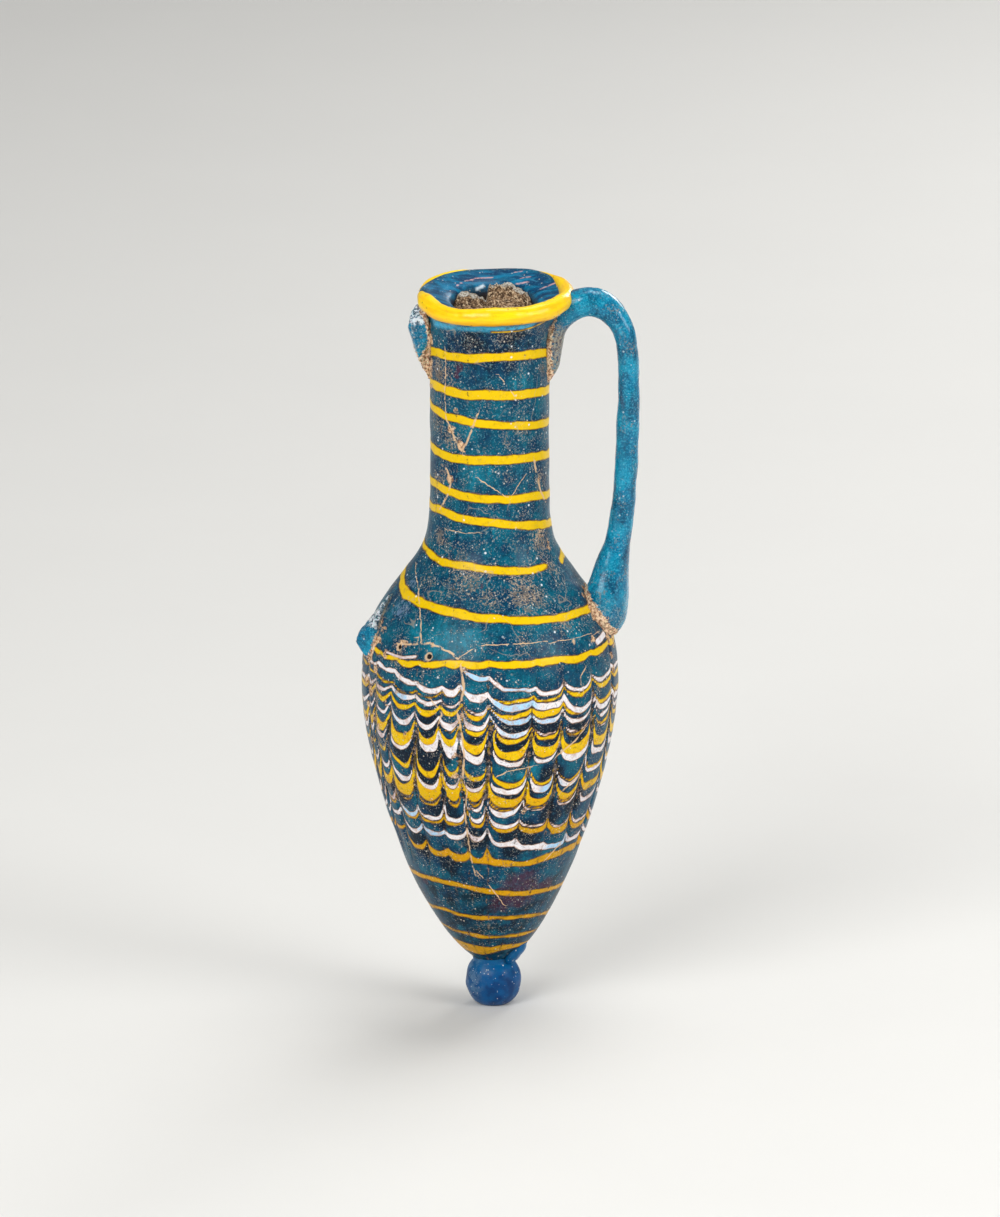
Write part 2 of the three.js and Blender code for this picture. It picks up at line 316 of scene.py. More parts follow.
# The trails put on hot. Turns are in degrees from the front to the right. A station gives the
# distance from the axis, the height, and half the depth and width of the trail there, in mm.
coil = {
    "ring": 17.7, "high": 2.2, "wide": 1.9, "from": -80, "to": 262, "rings": 300, "sides": 32,
    # Turns over which it thickens from its blunt end, thins out behind, is worn, and ends.
    "start": (-80.5, -66), "behind": (108, 155), "wornFrom": (98, 134), "wornTo": (186, 210),
    "end": (238, 258), "waver": [(0.09, 21, 9), (0.03, 22, 3)],
}
handleShape = {
    "turn": 84,
    "stations": [
        (13.9, 157.6, 0.7, 1.6), (15.1, 162.5, 2.1, 3.2), (15.6, 166.7, 2.2, 4),
        (16.4, 171.5, 2.6, 4.2), (19.4, 176, 3.5, 3.9), (24.3, 177.7, 3.6, 3.5),
        (28.8, 176.2, 3.3, 3.3), (32.1, 172.1, 2.7, 3.2), (33.5, 166.6, 2.5, 3.1),
        (33.9, 157, 2.7, 3.1), (33.2, 135.7, 2.8, 3.2), (32.6, 127, 2.85, 3.3),
        (31.4, 118.4, 3.1, 3.7), (29.8, 111.3, 4.2, 5), (28.8, 104.9, 5.2, 6.6),
        (27.8, 99.9, 5.8, 6.6), (26.6, 95.9, 4.6, 4.4),
    ],
    "rings": 420,
    "sides": 56,
    "waver": [(0.1, 31, 11), (0.03, 32, 3.5)],
}
neckRoot = {
    "turn": -86,
    "stations": [
        (13.9, 157.6, 0.6, 1.6), (14.9, 162.4, 1.6, 3), (16, 166.8, 2.6, 3.8),
        (17, 171.2, 2.6, 4), (17.2, 174.4, 1.9, 3.2), (17, 176, 1.2, 2.4),
    ],
    "rings": 110,
    "sides": 56,
    "waver": [(0.2, 35, 4), (0.06, 36, 1.4)],
    "middle": (-16.6, -1.0, 168.5),
    "faces": [((-0.35, -0.93, 0.1), 2.7), ((-0.95, -0.2, -0.3), 2.3), ((0.45, -0.85, -0.3), 3.2),
              ((-0.5, -0.5, 0.75), 5.2), ((-0.7, 0.7, 0.1), 2.9)],
}
shoulderRoot = {
    "turn": -75,
    "stations": [
        (24.2, 105.4, 1, 2.4), (26.8, 101.5, 1.6, 4), (28.9, 97.5, 1.8, 4.8),
        (30.5, 93.6, 2.4, 4.6), (31.2, 90.4, 2.6, 3.8), (31, 88.7, 1.8, 2.8),
    ],
    "rings": 120,
    "sides": 60,
    "waver": [(0.25, 37, 5), (0.06, 38, 1.4)],
    "middle": (-28.6, -7.4, 96.0),
    "faces": [((-0.55, -0.8, 0.1), 2.4), ((-0.8, 0.1, 0.75), 2.5), ((-0.2, -0.5, -0.95), 5.9),
              ((-0.85, -0.15, -0.55), 4.6), ((0.5, -0.85, 0.3), 3.0), ((-0.5, 0.9, 0.1), 2.8)],
}
# Their joints on the wall: turn, strength and reach of the crust in mm, and stations.
jointTrails = [
    (handleShape["turn"], 1, 1.7, handleShape["stations"][-4:]),
    (handleShape["turn"], 0.9, 0.9, handleShape["stations"][:4]),
    (neckRoot["turn"], 1, 1.4, neckRoot["stations"][:4]),
    (shoulderRoot["turn"], 0.85, 1.7,
     [(28.9, 97.5, 1.8, 4.8), (30.6, 94, 2.4, 4.6), (31.4, 91.2, 2.6, 3.8)]),
]

# The vessel: outlines as (height, radius) in mm, the same as the solid's but for the dish.
vessel = {
    "footHeight": 11.6,
    "rimTop": 179.5,
    "rimRadius": 18.4,
    "rimLean": 4.5,  # degrees
    "rimShift": 1,
    "rimWave": 0.35,
    "footShift": 0.6,
    "outerWall": [
        (11.6, 4.4), (12.6, 5.5), (14.4, 7.5), (17.5, 10.2), (22, 13.2), (30, 17.5),
        (40, 21.7), (52, 25.8), (64, 29), (74, 30.7), (82.5, 31.2), (88, 30.9), (93, 30),
        (98, 28.1), (103, 25.2), (107, 22.4), (110.5, 19.8), (114, 17.5), (118, 15.7),
        (125, 14.7), (142, 14.4), (168, 14.7), (173.5, 15.5), (176.3, 17),
    ],
    "rim": [(176.9, 18), (177.9, 18.4), (179, 18.1), (179.5, 17.3), (179.3, 16.2)],
    "innerWall": [
        (178.9, 14.6), (178.65, 13.4), (178.2, 12), (177.6, 10.9), (176.2, 10.3), (172.5, 10.2),
        (130, 10.2), (120, 10.9), (113, 12.8), (107, 16.6), (101, 21), (94, 24.8),
        (86, 26.8), (76, 27), (64, 25.2), (50, 21.4), (37, 16.4), (26, 10.6),
        (20.2, 4.4), (19, 0.8),
    ],
    "frontStep": 0.88, "backStep": 1.75,  # degrees between columns
    # Millimetres between rows, and the heights where these steps meet.
    "footStep": 0.8, "footTop": 38, "bodyStep": 0.56, "bodyTop": 97, "neckStep": 1.0,
    "neckTop": 169, "rimStep": 0.55, "dishStep": 0.4, "innerStep": 4.5,
    "grooveDepth": 0.42, "grooveWide": 0.7, "pitDepth": 0.7, "crackDepth": 0.1,
    "threadProud": 0.07,
    # Amount in mm, seed and length in mm.
    "waver": [(0.096, 5, 26), (0.048, 6, 9)],
    "threadDrift": [(0.24, 71, 9), (0.1, 72, 3)],
    "threadSwell": [(0.09, 73, 4.5)],
}
outerHeights, outerRadii = np.array(vessel["outerWall"], float).T


def outerRadius(height):
    return smoothThrough(outerHeights, outerRadii, height)


# The hand-made shape: the lower end shifts towards the handle, the mouth shifts, tips and waves.
def stray(places):
    x, y, z = np.moveaxis(np.asarray(places, float), -1, 0)
    angle = np.arctan2(x, -y)
    atMouth = easeStep(vessel["rimTop"] - 12, vessel["rimTop"] - 3, z)
    atFoot = 1 - easeStep(vessel["footHeight"], 36, z)
    wave = vessel["rimWave"] * (np.sin(3 * angle + 0.4) + 0.6 * np.sin(5 * angle + 1.9))
    reach = np.hypot(x, y) / vessel["rimRadius"]
    lean = math.tan(math.radians(vessel["rimLean"]))
    z = z + atMouth * (lean * y + wave * reach**2)
    x = x + atMouth * vessel["rimShift"] + atFoot * vessel["footShift"]
    return np.stack([x, y, z], -1)


def onWall(turn, height):  # a place on the outer wall
    turn = np.radians(turn)
    radius = outerRadius(height)
    return np.stack([radius * np.sin(turn), -radius * np.cos(turn), height + 0 * turn], -1)


# Where in the photograph a place in mm is seen.
def pictureOf(places):
    u = photo["axisX"] + places[..., 0] / photo["mmPerPx"]
    rise = places[..., 2] * photoUp + places[..., 1] * photoNear
    return np.stack([u, photo["groundY"] - rise / photo["mmPerPx"]], -1)


# Turn (degrees from the front, right positive) and height of the surface seen at a pixel: the
# height is found again and again from the radius that it gives.
def surfaceAt(u, v):
    x = (np.asarray(u, float) - photo["axisX"]) * photo["mmPerPx"]
    seen = (photo["groundY"] - np.asarray(v, float)) * photo["mmPerPx"]
    height, drift = seen / photoUp, np.zeros(x.shape + (3,))
    for _ in range(30):
        radius = outerRadius(height)
        turn = np.arcsin(np.clip((x - drift[..., 0]) / radius, -1, 1))
        drift = stray(onWall(np.degrees(turn), height)) - onWall(np.degrees(turn), height)
        level = (seen + radius * np.cos(turn) * photoNear) / photoUp - drift[..., 2]
        height = height + 0.6 * (level - height)
    return np.degrees(turn), height


def wallUnder(points):  # the places on the wall that picture points (x, y) show
    return onWall(*surfaceAt(*np.array(points, float).T))


# The comb: strokes of a point drawn up through the soft glass.
comb = {
    # Turn at height 88, turn at height 50, and lowest height, from the left.
    "front": [
        (-71.6, -74, 37), (-62.9, -68, 37), (-50.1, -58, 37), (-34.8, -41, 37),
        (-21.9, -25.2, 38), (-13.6, -13, 37), (-0.1, -1.5, 40), (21.2, 15.7, 44),
        (35.4, 32.8, 44), (54.4, 50.7, 42), (73.5, 70, 40),
    ],
    "force": [0.9, 0.9, 0.9, 1, 0.8, 0.9, 1.15, 0.75, 0.95, 1.1, 1.1],
    "backStrokes": 12,
    "seed": 41,
    # Height, wide pull and steep pull in mm, and how far out the dark groove reaches.
    "pulls": [
        (37, 0, 0, 0), (41, 0.6, 0.4, 0.1), (45, 1.0, 1.0, 0.2), (50, 1.1, 1.1, 0.3),
        (54, 1.2, 2.0, 0.45), (58, 1.4, 3.6, 0.65), (64, 1.5, 4.2, 0.7), (70, 1.5, 5.4, 0.85),
        (76, 1.5, 5.6, 0.85), (79, 1.4, 3.2, 0.55), (82, 1.3, 1.6, 0.3), (86, 1.2, 1.1, 0.15),
        (90, 1.0, 0.6, 0.05), (93.5, 0.35, 0.2, -0.3), (96, 0, 0, -0.6),
    ],
    "wideReach": 5,  # mm, at the most
    "steepReach": 0.62,
    "pointRadius": 0.35,
    "weakStrokes": 5,  # the first few on the left, which fade towards the shoulder
}


# All strokes and their force; those behind share what the front leaves of the circle.
def drawStrokes():
    draw = np.random.default_rng(comb["seed"])
    first, last = comb["front"][0][0], comb["front"][-1][0]
    gap = (360 + first - last) / (comb["backStrokes"] + 1)
    behind = [
        (last + gap * i + draw.uniform(-2, 2), last + gap * i + draw.uniform(-4, 4),
         draw.uniform(37, 43))
        for i in range(1, comb["backStrokes"] + 1)
    ]
    force = np.append(comb["force"], draw.uniform(0.8, 1.15, comb["backStrokes"]))
    return np.array(comb["front"] + behind), force


strokes, strokePull = drawStrokes()
strokeOrder = np.arange(len(strokes))


def pullAt(height, kind):  # kind 1 is the wide pull, 2 the steep one, 3 the groove's reach
    pulls = np.array(comb["pulls"])
    return smoothThrough(pulls[:, 0], pulls[:, kind], height)


def strokeTurns(height):  # [.., stroke]; slanting, with a hand's tremble
    height = np.asarray(height, float)[..., None]
    share = np.clip((height - 50) / 38, -0.3, 1.2)
    tremble = 0.7 * np.sin(height / 5.3 + 2.1 * strokeOrder)
    tremble = tremble + 0.4 * np.sin(height / 2.1 + 1.3 * strokeOrder)
    return strokes[:, 1] + (strokes[:, 0] - strokes[:, 1]) * share + tremble


def strokeForce(height):  # [.., stroke]; it fades at the lower end and varies on the way
    height = np.asarray(height, float)[..., None]
    vary = 1 + 0.28 * np.sin(height / 4.6 + 1.7 * strokeOrder)
    vary = vary * (1 - 0.55 * easeStep(81, 88, height) * (strokeOrder < comb["weakStrokes"]))
    return easeStep(0, 6, height - strokes[:, 2]) * strokePull * vary


# For places (turn, height, radius): how far the nearest stroke is in mm, how far the strokes
# pull the threads up there, and that stroke's force. A wide pull eases with a square to nothing
# mid panel, and a steep one dies away beside the stroke, so the threads hang in cups.
def combing(turn, height, radius):
    turns = strokeTurns(height)
    away = (turn[..., None] - turns + 180) % 360 - 180
    perDegree = (np.radians(1) * radius)[..., None]
    gaps = (np.roll(turns, -1, -1) - turns) % 360
    force = strokeForce(height)
    wide, steep = pullAt(height, 1)[..., None] * force, pullAt(height, 2)[..., None] * force
    rise = np.zeros(turn.shape)
    for side, gap in ((1, gaps), (-1, np.roll(gaps, 1, -1))):
        reach = np.minimum(comb["wideReach"], gap * perDegree / 2)
        apart = side * away * perDegree
        blunt = comb["pointRadius"] * (1 - np.clip(apart / reach, 0, 1))
        soft = np.hypot(apart, comb["pointRadius"]) - blunt
        share = np.clip(1 - soft / reach, 0, 1) ** 2
        lift = (wide * share + steep * np.exp(-soft / comb["steepReach"])) * (apart >= 0)
        rise = np.maximum(rise, lift.max(-1))
    near = np.abs(away).min(-1) * perDegree[..., 0]
    strength = np.take_along_axis(force, np.abs(away).argmin(-1)[..., None], -1)[..., 0]
    return near, rise, strength


# Where each thread hangs in the middle of each panel between two strokes, read off the
# photograph: picture height and thickness in pixels, panel by panel from the left. The last
# kind is the dark line that parts the widest cups of yellow.
panelStrokes = np.arange(1, 10)
windings = {
    "yellow": [
        ([657, 663.5, 665, 665.3, 665, 665.3, 661.5, 660, 650], [5, 6, 7.5, 8, 8, 8.5, 8, 8, 7]),
        ([679, 691, 697, 696, 701, 702, 699.8, 694.5, 683], [3, 2.5, 2.5, 3, 1, 3.5, 3.5, 4, 5]),
        ([697, 706, 712.3, 713, 719.5, 717, 714, 712, 699], [5, 5.5, 6, 5, 5, 4.5, 7.5, 2.5, 5]),
        ([713, 728, 732, 731.5, 735.5, 741.8, 737.3, 732, 721], [0, 0, 0, 2, 4, 5, 4, 2, 4]),
        ([725.7, 739, 741.8, 743, 750.7, 755, 752.5, 748, 738], [9, 13, 7, 8, 10, 9, 11, 12, 10]),
        ([748, 763, 774, 775, 778.5, 786, 783.4, 779, 765], [4, 5, 7, 6.5, 5, 5, 4, 3, 4]),
        ([779.5, 791, 796, 799, 800.3, 804.8, 803, 797.7, 785],
         [13, 16.6, 16.6, 15, 14.3, 12.5, 11, 9, 8]),
        ([801, 816, 822.7, 824, 827, 831.6, 831.6, 830, 825], [3, 3, 3, 3.5, 4, 4, 5, 6, 5]),
        ([828, 846, 853, 857.5, 860, 863.3, 862.9, 855.7, 848.6], [4, 5, 5.5, 7, 6, 7, 6, 7, 6]),
    ],
    "white": [
        ([648, 656, 664, 668, 678, 690, 693, 689.6, 677], [0, 0, 0, 0, 6, 3.5, 4, 4, 4]),
        ([668, 680, 690, 692.7, 699, 708.5, 706, 708.8, 705], [4, 5, 6, 7, 7, 7, 7, 6, 5]),
        ([688, 695.4, 703, 706, 715, 721.8, 722, 719.5, 713], [4, 5, 4, 2, 2.5, 4.5, 5, 4, 3]),
        ([710.5, 722, 726.6, 726.6, 730, 735, 733.8, 730, 724], [4, 6, 6, 7, 6, 6, 1.5, 1.5, 1]),
        ([734.6, 747, 748, 752, 760.5, 764, 761.4, 757, 749], [5, 4, 6, 12, 7, 5, 3, 8, 6]),
        ([765, 777.6, 786.5, 789, 791, 792.3, 789, 784, 768], [4, 5, 5, 4, 4, 5, 6, 5, 4]),
        ([783, 797, 804, 807, 811, 813.8, 810, 804, 798], [0, 0, 0, 0, 4, 5, 2, 2, 4]),
        ([797, 813, 818, 820, 822, 827, 827, 826, 820], [4, 4, 4, 4, 4, 5, 2, 2, 3]),
        ([813, 829.8, 834, 838.8, 840.5, 845, 846.8, 846, 838], [4, 5, 4.5, 5, 5, 4.5, 5, 5, 5]),
    ],
    "split": [
        ([784.3, 796, 800.6, 802.7, 803.6, 808, 806.4, 800, 787],
         [2.4, 2.5, 2.5, 2.4, 2.3, 2, 1.8, 1, 0]),
    ],
}
# Single threads of the neck, shoulder and foot: points (x, y) from left to right and thickness.
plainRows = [
    ([(428, 349), (436, 353), (455, 358), (490, 358.8), (525, 356.5), (550, 352)], 9),
    ([(430, 380), (440, 388), (460, 394), (490, 396.5), (525, 395), (551, 388)], 9.5),
    ([(431, 404), (440, 413), (460, 420), (490, 425.5), (525, 426), (550, 420)], 8.5),
    ([(431, 444), (440, 453), (460, 459), (490, 460.5), (525, 459), (550, 452)], 9),
    ([(430, 476), (440, 487), (460, 495.5), (490, 500), (525, 498), (550, 492)], 8.5),
    ([(429, 501), (440, 510), (460, 518), (490, 523), (525, 525), (550, 523)], 8.5),
    (
        [(425, 547), (444, 562), (476, 568), (508, 571), (524, 571), (545, 566), (551, 564),
         (557, 560), (563, 553)],
        [6, 8, 8.5, 9, 8, 5, 0, 0, 8],
    ),
    (
        [(397, 572), (404, 588), (420, 602), (452, 612), (484, 618), (516, 620), (556, 618),
         (592, 606)],
        [7, 9, 9, 9, 9, 8.5, 8, 7],
    ),
]
footRows = [
    ([(408, 865), (440, 881), (488, 891.5), (520, 894), (550, 889), (568, 881)], 5),
    ([(425, 900), (445, 910), (478, 918), (515, 917.5), (550, 909)], 3.8),
    ([(436, 918.6), (460, 932), (492, 937.5), (515, 936), (536, 930)], 3.2),
    ([(451, 937), (463, 946), (480, 951), (505, 948), (530, 939)], [9, 11, 9, 5, 3]),
]
# Short scraps of thread and the gleam under the mouth: points (x, y) and half thickness in mm.
scraps = {
    "yellow": [
        ([(492, 333.5), (510, 333), (525, 331), (545, 323)], 0.34),
        ([(561, 561), (565, 552)], 0.9),
    ],
    "white": [
        ([(386, 650.5), (395, 655.5), (404, 657.5), (416, 656.5)], 0.36),
        ([(597, 642), (601, 638.5), (604, 634)], 0.8),
    ],
}
gleam = ([(434, 322), (455, 326.5), (480, 329), (505, 329.5), (530, 326)], 1.5)
# Fine cracks and scratches as lines across the picture, with half width in mm.
crackLines = [
    ([(398, 643.5), (408, 644), (431, 643), (437, 646), (450, 652), (458, 659)], 0.26),
    ([(458, 659), (470, 650), (485, 645), (520, 644), (560, 641), (598, 632)], 0.12),
    ([(416, 565), (419, 590), (421, 620), (421.5, 642)], 0.16),
    ([(445, 349), (446, 370), (445, 395), (446, 416)], 0.15),
    ([(446, 418), (451, 428), (455, 440), (462, 452), (468, 440), (474, 424), (478, 414)], 0.24),
    ([(447, 470), (452, 482), (448, 496), (441, 508)], 0.24),
    ([(535, 462), (537, 476), (541, 492), (545, 500)], 0.3),
    ([(461, 667), (464, 688), (461, 700)], 0.3),
    ([(458, 715), (462, 735), (464, 755), (463, 775)], 0.24),
    ([(467, 790), (465, 812), (467, 835), (471, 860), (476, 878)], 0.16),
    ([(432, 701), (438.6, 708), (441.7, 714), (438.6, 723)], 0.2),
    ([(585, 728), (574, 742), (565, 749), (556, 757)], 0.2),
    ([(477.5, 871.8), (490, 886), (498, 897), (504, 905)], 0.12),
    ([(496.6, 776.6), (507.3, 771), (520.7, 768.6), (533, 766)], 0.13),
    ([(561, 792.3), (570, 783.4), (579, 776)], 0.22),
    ([(545.7, 859.3), (556.4, 847.7), (561, 843)], 0.2),
    ([(480, 480), (492, 488), (506, 497)], 0.12),
    ([(500, 378), (508, 388), (514, 397)], 0.1),
    ([(530, 470), (519, 484), (512, 496)], 0.09),
    ([(447, 530), (462, 533), (480, 533)], 0.09),
    ([(585, 668), (580, 678), (583, 690)], 0.16),
    ([(613, 640), (618, 652), (620, 668)], 0.3),
]
# Patches seen in the picture: x, y, radius in pixels and strength. "dark" is the glass between
# the threads that reads nearly black, and "bright" the clearer, lighter turquoise. Right under the
# mouth, the last "dark" patch is painted shadow of the coil and the first two "bright" ones are
# painted highlight.
patches = {
    "crust": [
        (424, 352, 6, 0.9), (427, 364, 6, 0.9), (431, 376, 5, 0.7), (432, 340, 5, 0.8),
        (552, 332, 4, 0.8), (556, 345, 5, 0.9), (553, 360, 5, 0.8), (549, 374, 4, 0.6),
        (461, 447, 6, 0.95), (452, 430, 6, 0.9), (472, 428, 4, 0.8), (456, 412, 5, 0.7),
        (451, 480, 6, 0.9), (538, 478, 5, 0.85), (541, 533, 7, 0.75), (548, 545, 7, 0.7),
        (556, 556, 6, 0.6), (600, 622, 6, 0.6), (606, 636, 6, 0.8), (612, 655, 5, 0.8),
        (376, 668, 8, 0.8), (370, 690, 8, 0.8), (374, 715, 8, 0.75), (368, 704, 6, 0.8),
        (372, 742, 7, 0.7), (615, 690, 6, 0.8), (609, 716, 6, 0.75), (604, 745, 5, 0.6),
        (613, 668, 5, 0.8), (617, 710, 5, 0.8), (380, 765, 6, 0.6), (397, 690, 5, 0.7),
        (366, 680, 7, 0.9), (366, 716, 7, 0.85), (378, 726, 6, 0.75), (386, 704, 5, 0.7),
        (405, 735, 5, 0.6), (372, 775, 5, 0.7), (385, 805, 5, 0.6), (596, 790, 5, 0.6),
        (612, 730, 5, 0.7), (456, 775, 6, 0.6), (500, 690, 4, 0.5), (560, 700, 4, 0.5),
        (386, 655, 6, 0.9), (452, 752, 9, 0.6), (462, 715, 5, 0.7), (460, 690, 5, 0.6),
        (592, 638, 6, 0.7), (404, 644, 7, 0.8), (433, 645, 3, 0.9), (465, 762, 8, 0.5),
        (560, 752, 4, 0.7), (585, 700, 5, 0.4), (395, 618, 4, 0.8), (394, 606, 4, 0.7),
        (445, 700, 6, 0.35), (405, 700, 6, 0.35), (525, 812, 7, 0.45), (470, 808, 6, 0.5),
        (468, 835, 5, 0.5), (466, 670, 5, 0.6),
    ],
    "dust": [
        (441, 372, 14, 1), (438, 420, 15, 1), (452, 440, 12, 0.8), (440, 480, 13, 0.95),
        (447, 540, 15, 0.6), (428, 580, 12, 0.6), (462, 575, 20, 0.75), (485, 590, 22, 0.7),
        (525, 590, 24, 0.8), (540, 540, 16, 0.95), (555, 570, 14, 0.7), (520, 430, 12, 0.5),
        (505, 436, 9, 0.6), (544, 365, 10, 0.8), (545, 420, 9, 0.7), (541, 480, 11, 0.9),
        (515, 335, 14, 0.7), (560, 620, 15, 0.7), (590, 590, 10, 0.6), (400, 655, 14, 0.7),
        (520, 660, 14, 0.4), (600, 660, 9, 0.8), (597, 690, 9, 0.6), (376, 690, 15, 0.9),
        (380, 740, 15, 0.9), (390, 790, 15, 0.8), (404, 840, 10, 0.5), (597, 730, 12, 0.7),
        (588, 790, 12, 0.75), (575, 830, 12, 0.6), (462, 720, 12, 0.8), (465, 780, 12, 0.8),
        (470, 840, 10, 0.6), (440, 880, 8, 0.3), (520, 640, 12, 0.4), (412, 720, 10, 0.5),
    ],
    # grey bloom; on the left of the shoulder it is also a painted reflection of the light
    "greyBloomAndSheen": [
        (404, 606, 20, 1), (412, 586, 14, 0.8), (398, 626, 10, 0.6), (432, 556, 10, 0.7),
        (433, 395, 9, 0.8), (433, 425, 9, 0.8), (433, 455, 9, 0.8), (432, 530, 9, 0.8),
        (433, 372, 8, 0.6), (544, 400, 7, 0.5), (543, 440, 7, 0.5), (541, 520, 7, 0.5),
        (383, 612, 10, 0.7), (434, 500, 8, 0.5), (436, 360, 10, 0.45), (593, 645, 5, 1),
    ],
    "pale": [
        (474, 679, 16, 1), (515, 709, 26, 1), (515, 736, 20, 0.6), (551, 790, 16, 0.9),
        (412, 817, 16, 0.9), (432, 832, 16, 0.8), (556, 847, 18, 0.8), (505, 812, 14, 0.4),
        (400, 697, 12, 0.8), (545, 722, 14, 0.7), (490, 845, 18, 0.4), (395, 720, 8, 0.6),
    ],
    "dark": [
        (515, 743, 26, 1), (551, 732, 14, 1), (577, 728, 14, 0.9), (430, 752, 22, 1),
        (403, 750, 14, 1), (475, 748, 14, 0.9), (430, 724, 14, 0.8), (520, 797, 18, 0.9),
        (430, 776, 20, 0.9), (475, 790, 14, 0.8), (551, 776, 14, 0.9), (575, 800, 14, 0.9),
        (400, 790, 14, 0.9), (440, 812, 20, 0.7), (520, 838, 20, 0.9), (475, 838, 14, 0.7),
        # the last patch on the next line, wide under the mouth, is painted shadow of the coil
        (420, 843, 14, 0.7), (551, 812, 14, 0.7), (450, 862, 16, 0.4), (490, 338, 46, 0.5),
    ],
    "plum": [
        (520, 890, 28, 0.8), (545, 885, 14, 0.7), (500, 905, 16, 0.6), (425, 880, 9, 0.6),
        (460, 368, 5, 1), (457, 376, 4, 0.8), (482, 586, 3, 0.9), (485, 578, 2.5, 0.9),
    ],
    "bright": [
        # these first two, under the mouth, are painted highlight where the coil's shade falls
        (480, 324, 16, 1), (450, 322, 12, 0.8), (520, 768, 20, 0.8), (470, 430, 12, 0.6),
        (520, 385, 14, 0.5), (480, 470, 18, 0.6), (440, 640, 18, 0.8), (470, 640, 16, 0.7),
        (415, 632, 10, 0.7), (470, 695, 12, 0.5), (420, 695, 10, 0.6), (520, 690, 16, 0.4),
        (530, 620, 16, 0.4), (500, 530, 14, 0.4), (450, 765, 8, 0.7), (575, 630, 14, 0.6),
    ],
    # sunk places whose insides are painted shade; the third is the pocket beside the neck root
    "pit": [
        (429, 656.7, 3.3, 1), (399.5, 647, 3, 1), (428, 322, 4.5, 0.9), (574, 642, 2, 0.4),
    ],
}
# Streaks and chips on the dish of the mouth: points in the picture, half width in pixels, kind.
dishStreaks = [
    ([(457, 286), (462, 283), (467.5, 281), (477.5, 278.6), (492, 278)], 0.36, "pink"),
    ([(516, 284.6), (522, 283.6), (528, 282.3)], 0.5, "pink"),
    ([(521, 278.6), (531, 276.8)], 0.28, "pink"),
    ([(515, 272.3), (521, 272)], 0.3, "pink"),
    ([(540, 290), (549, 286), (559, 282)], 0.16, "pink"),
    ([(533, 296), (545, 291), (554, 287)], 0.2, "blue"),
    ([(477, 289.5), (483, 286.5)], 1.3, "white"),
    ([(483, 267.2), (500, 266.8), (514, 267.5)], 0.7, "white"),
    ([(414, 294), (417, 288), (423, 284)], 1.6, "white"),
    ([(420, 291), (428, 285)], 0.9, "blue"),
    ([(425, 295), (433, 288), (446, 283)], 0.7, "blue"),
    ([(440, 292), (450, 287)], 0.6, "blue"),
    ([(500, 273), (520, 276), (536, 282)], 0.6, "blue"),
    ([(505, 277), (520, 281), (530, 287)], 0.5, "blue"),
]


# Distance in mm of every place to a line through picture points, laid on the wall.
def lineAway(points, places):
    near = np.full(places.shape[:-1], 9.0)
    for _, gap in stretches(wallUnder(points), places):
        near = np.minimum(near, np.linalg.norm(gap, axis=-1))
    return near


# Half of a picture thickness in pixels as a height on the surface, with the slope of the wall.
def halfThick(turn, height, pixels):
    slope = (outerRadius(height + 0.5) - outerRadius(height - 0.5)) * np.cos(np.radians(turn))
    return np.asarray(pixels) / 2 * photo["mmPerPx"] / (photoUp - slope * photoNear)


# Knots of a winding, turn by turn: turn, height and half thickness in degrees and mm. The turns
# are mid panel, and each height is found again and again from the radius that it gives.
def windingKnots(rows):
    knots = []
    for ys, thick in rows:
        height = np.full(len(ys), 66.0)
        seen = (photo["groundY"] - np.array(ys)) * photo["mmPerPx"]
        for _ in range(30):
            turns = strokeTurns(height)
            ends = (np.take_along_axis(turns, panelStrokes[:, None] + i, 1) for i in (0, 1))
            turn = sum(ends)[:, 0] / 2
            reach = outerRadius(height) * np.cos(np.radians(turn)) * photoNear
            height += 0.6 * ((seen + reach) / photoUp - height)
        knots.append((turn, height, halfThick(turn, height, thick)))
    return knots


def plainKnots(rows):  # the same for threads given by points
    knots = []
    for points, thick in rows:
        turn, height = surfaceAt(*np.array(points, float).T)
        knots.append((turn, height, halfThick(turn, height, thick)))
    return knots


# How deep inside a winding each place lies, in mm: half thickness less the distance in height
# to the nearest of its turns, where the comb has pulled the height up. The winding runs out to
# nothing some degrees before its first knot and after its last.
def insideWinding(knots, turn, unpulled, leadIn=30, leadOut=70, outside=-9.0):
    unrolled = np.concatenate([k[0] + 360 * i for i, k in enumerate(knots)])
    heights = np.concatenate([k[1] for k in knots])
    halves = np.concatenate([[0]] + [k[2] for k in knots] + [[0]])
    unrolled = np.concatenate([[unrolled[0] - leadIn], unrolled, [unrolled[-1] + leadOut]])
    heights = np.concatenate([heights[:1] + 1, heights, heights[-1:] - 0.6])
    inside = np.full(turn.shape, outside)
    for i in range(-1, len(knots) + 1):
        at = turn + 360 * i
        known = (at >= unrolled[0]) & (at <= unrolled[-1])
        half = smoothThrough(unrolled, halves, at)
        apart = np.abs(unpulled - smoothThrough(unrolled, heights, at))
        inside = np.maximum(inside, np.where(known & (half > 0.08), half - apart, outside))
    return inside


# How much each place seen in the picture lies on the dish streaks of a kind.
def streakMark(kind, places):
    seen = pictureOf(places)
    mark = np.zeros(seen.shape[:-1])
    for points, half, way in dishStreaks:
        if way == kind:
            for _, gap in stretches(np.array(points, float), seen):
                away = np.linalg.norm(gap, axis=-1)
                mark = np.maximum(mark, 1 - easeStep(half * 0.6, half * 1.7, away))
    return mark


# Strength of the nearest patch at each place: full inside, easing out round its edge.
def patchMark(kind, places):
    spots = np.array(patches[kind], float)
    mark = np.zeros(places.shape[:-1])
    for centre, (size, most) in zip(wallUnder(spots[:, :2]), spots[:, 2:]):
        apart = np.linalg.norm(places - centre, axis=-1) / (size * photo["mmPerPx"])
        mark = np.maximum(mark, most * (1 - easeStep(0.4, 1.5, apart)))
    return mark


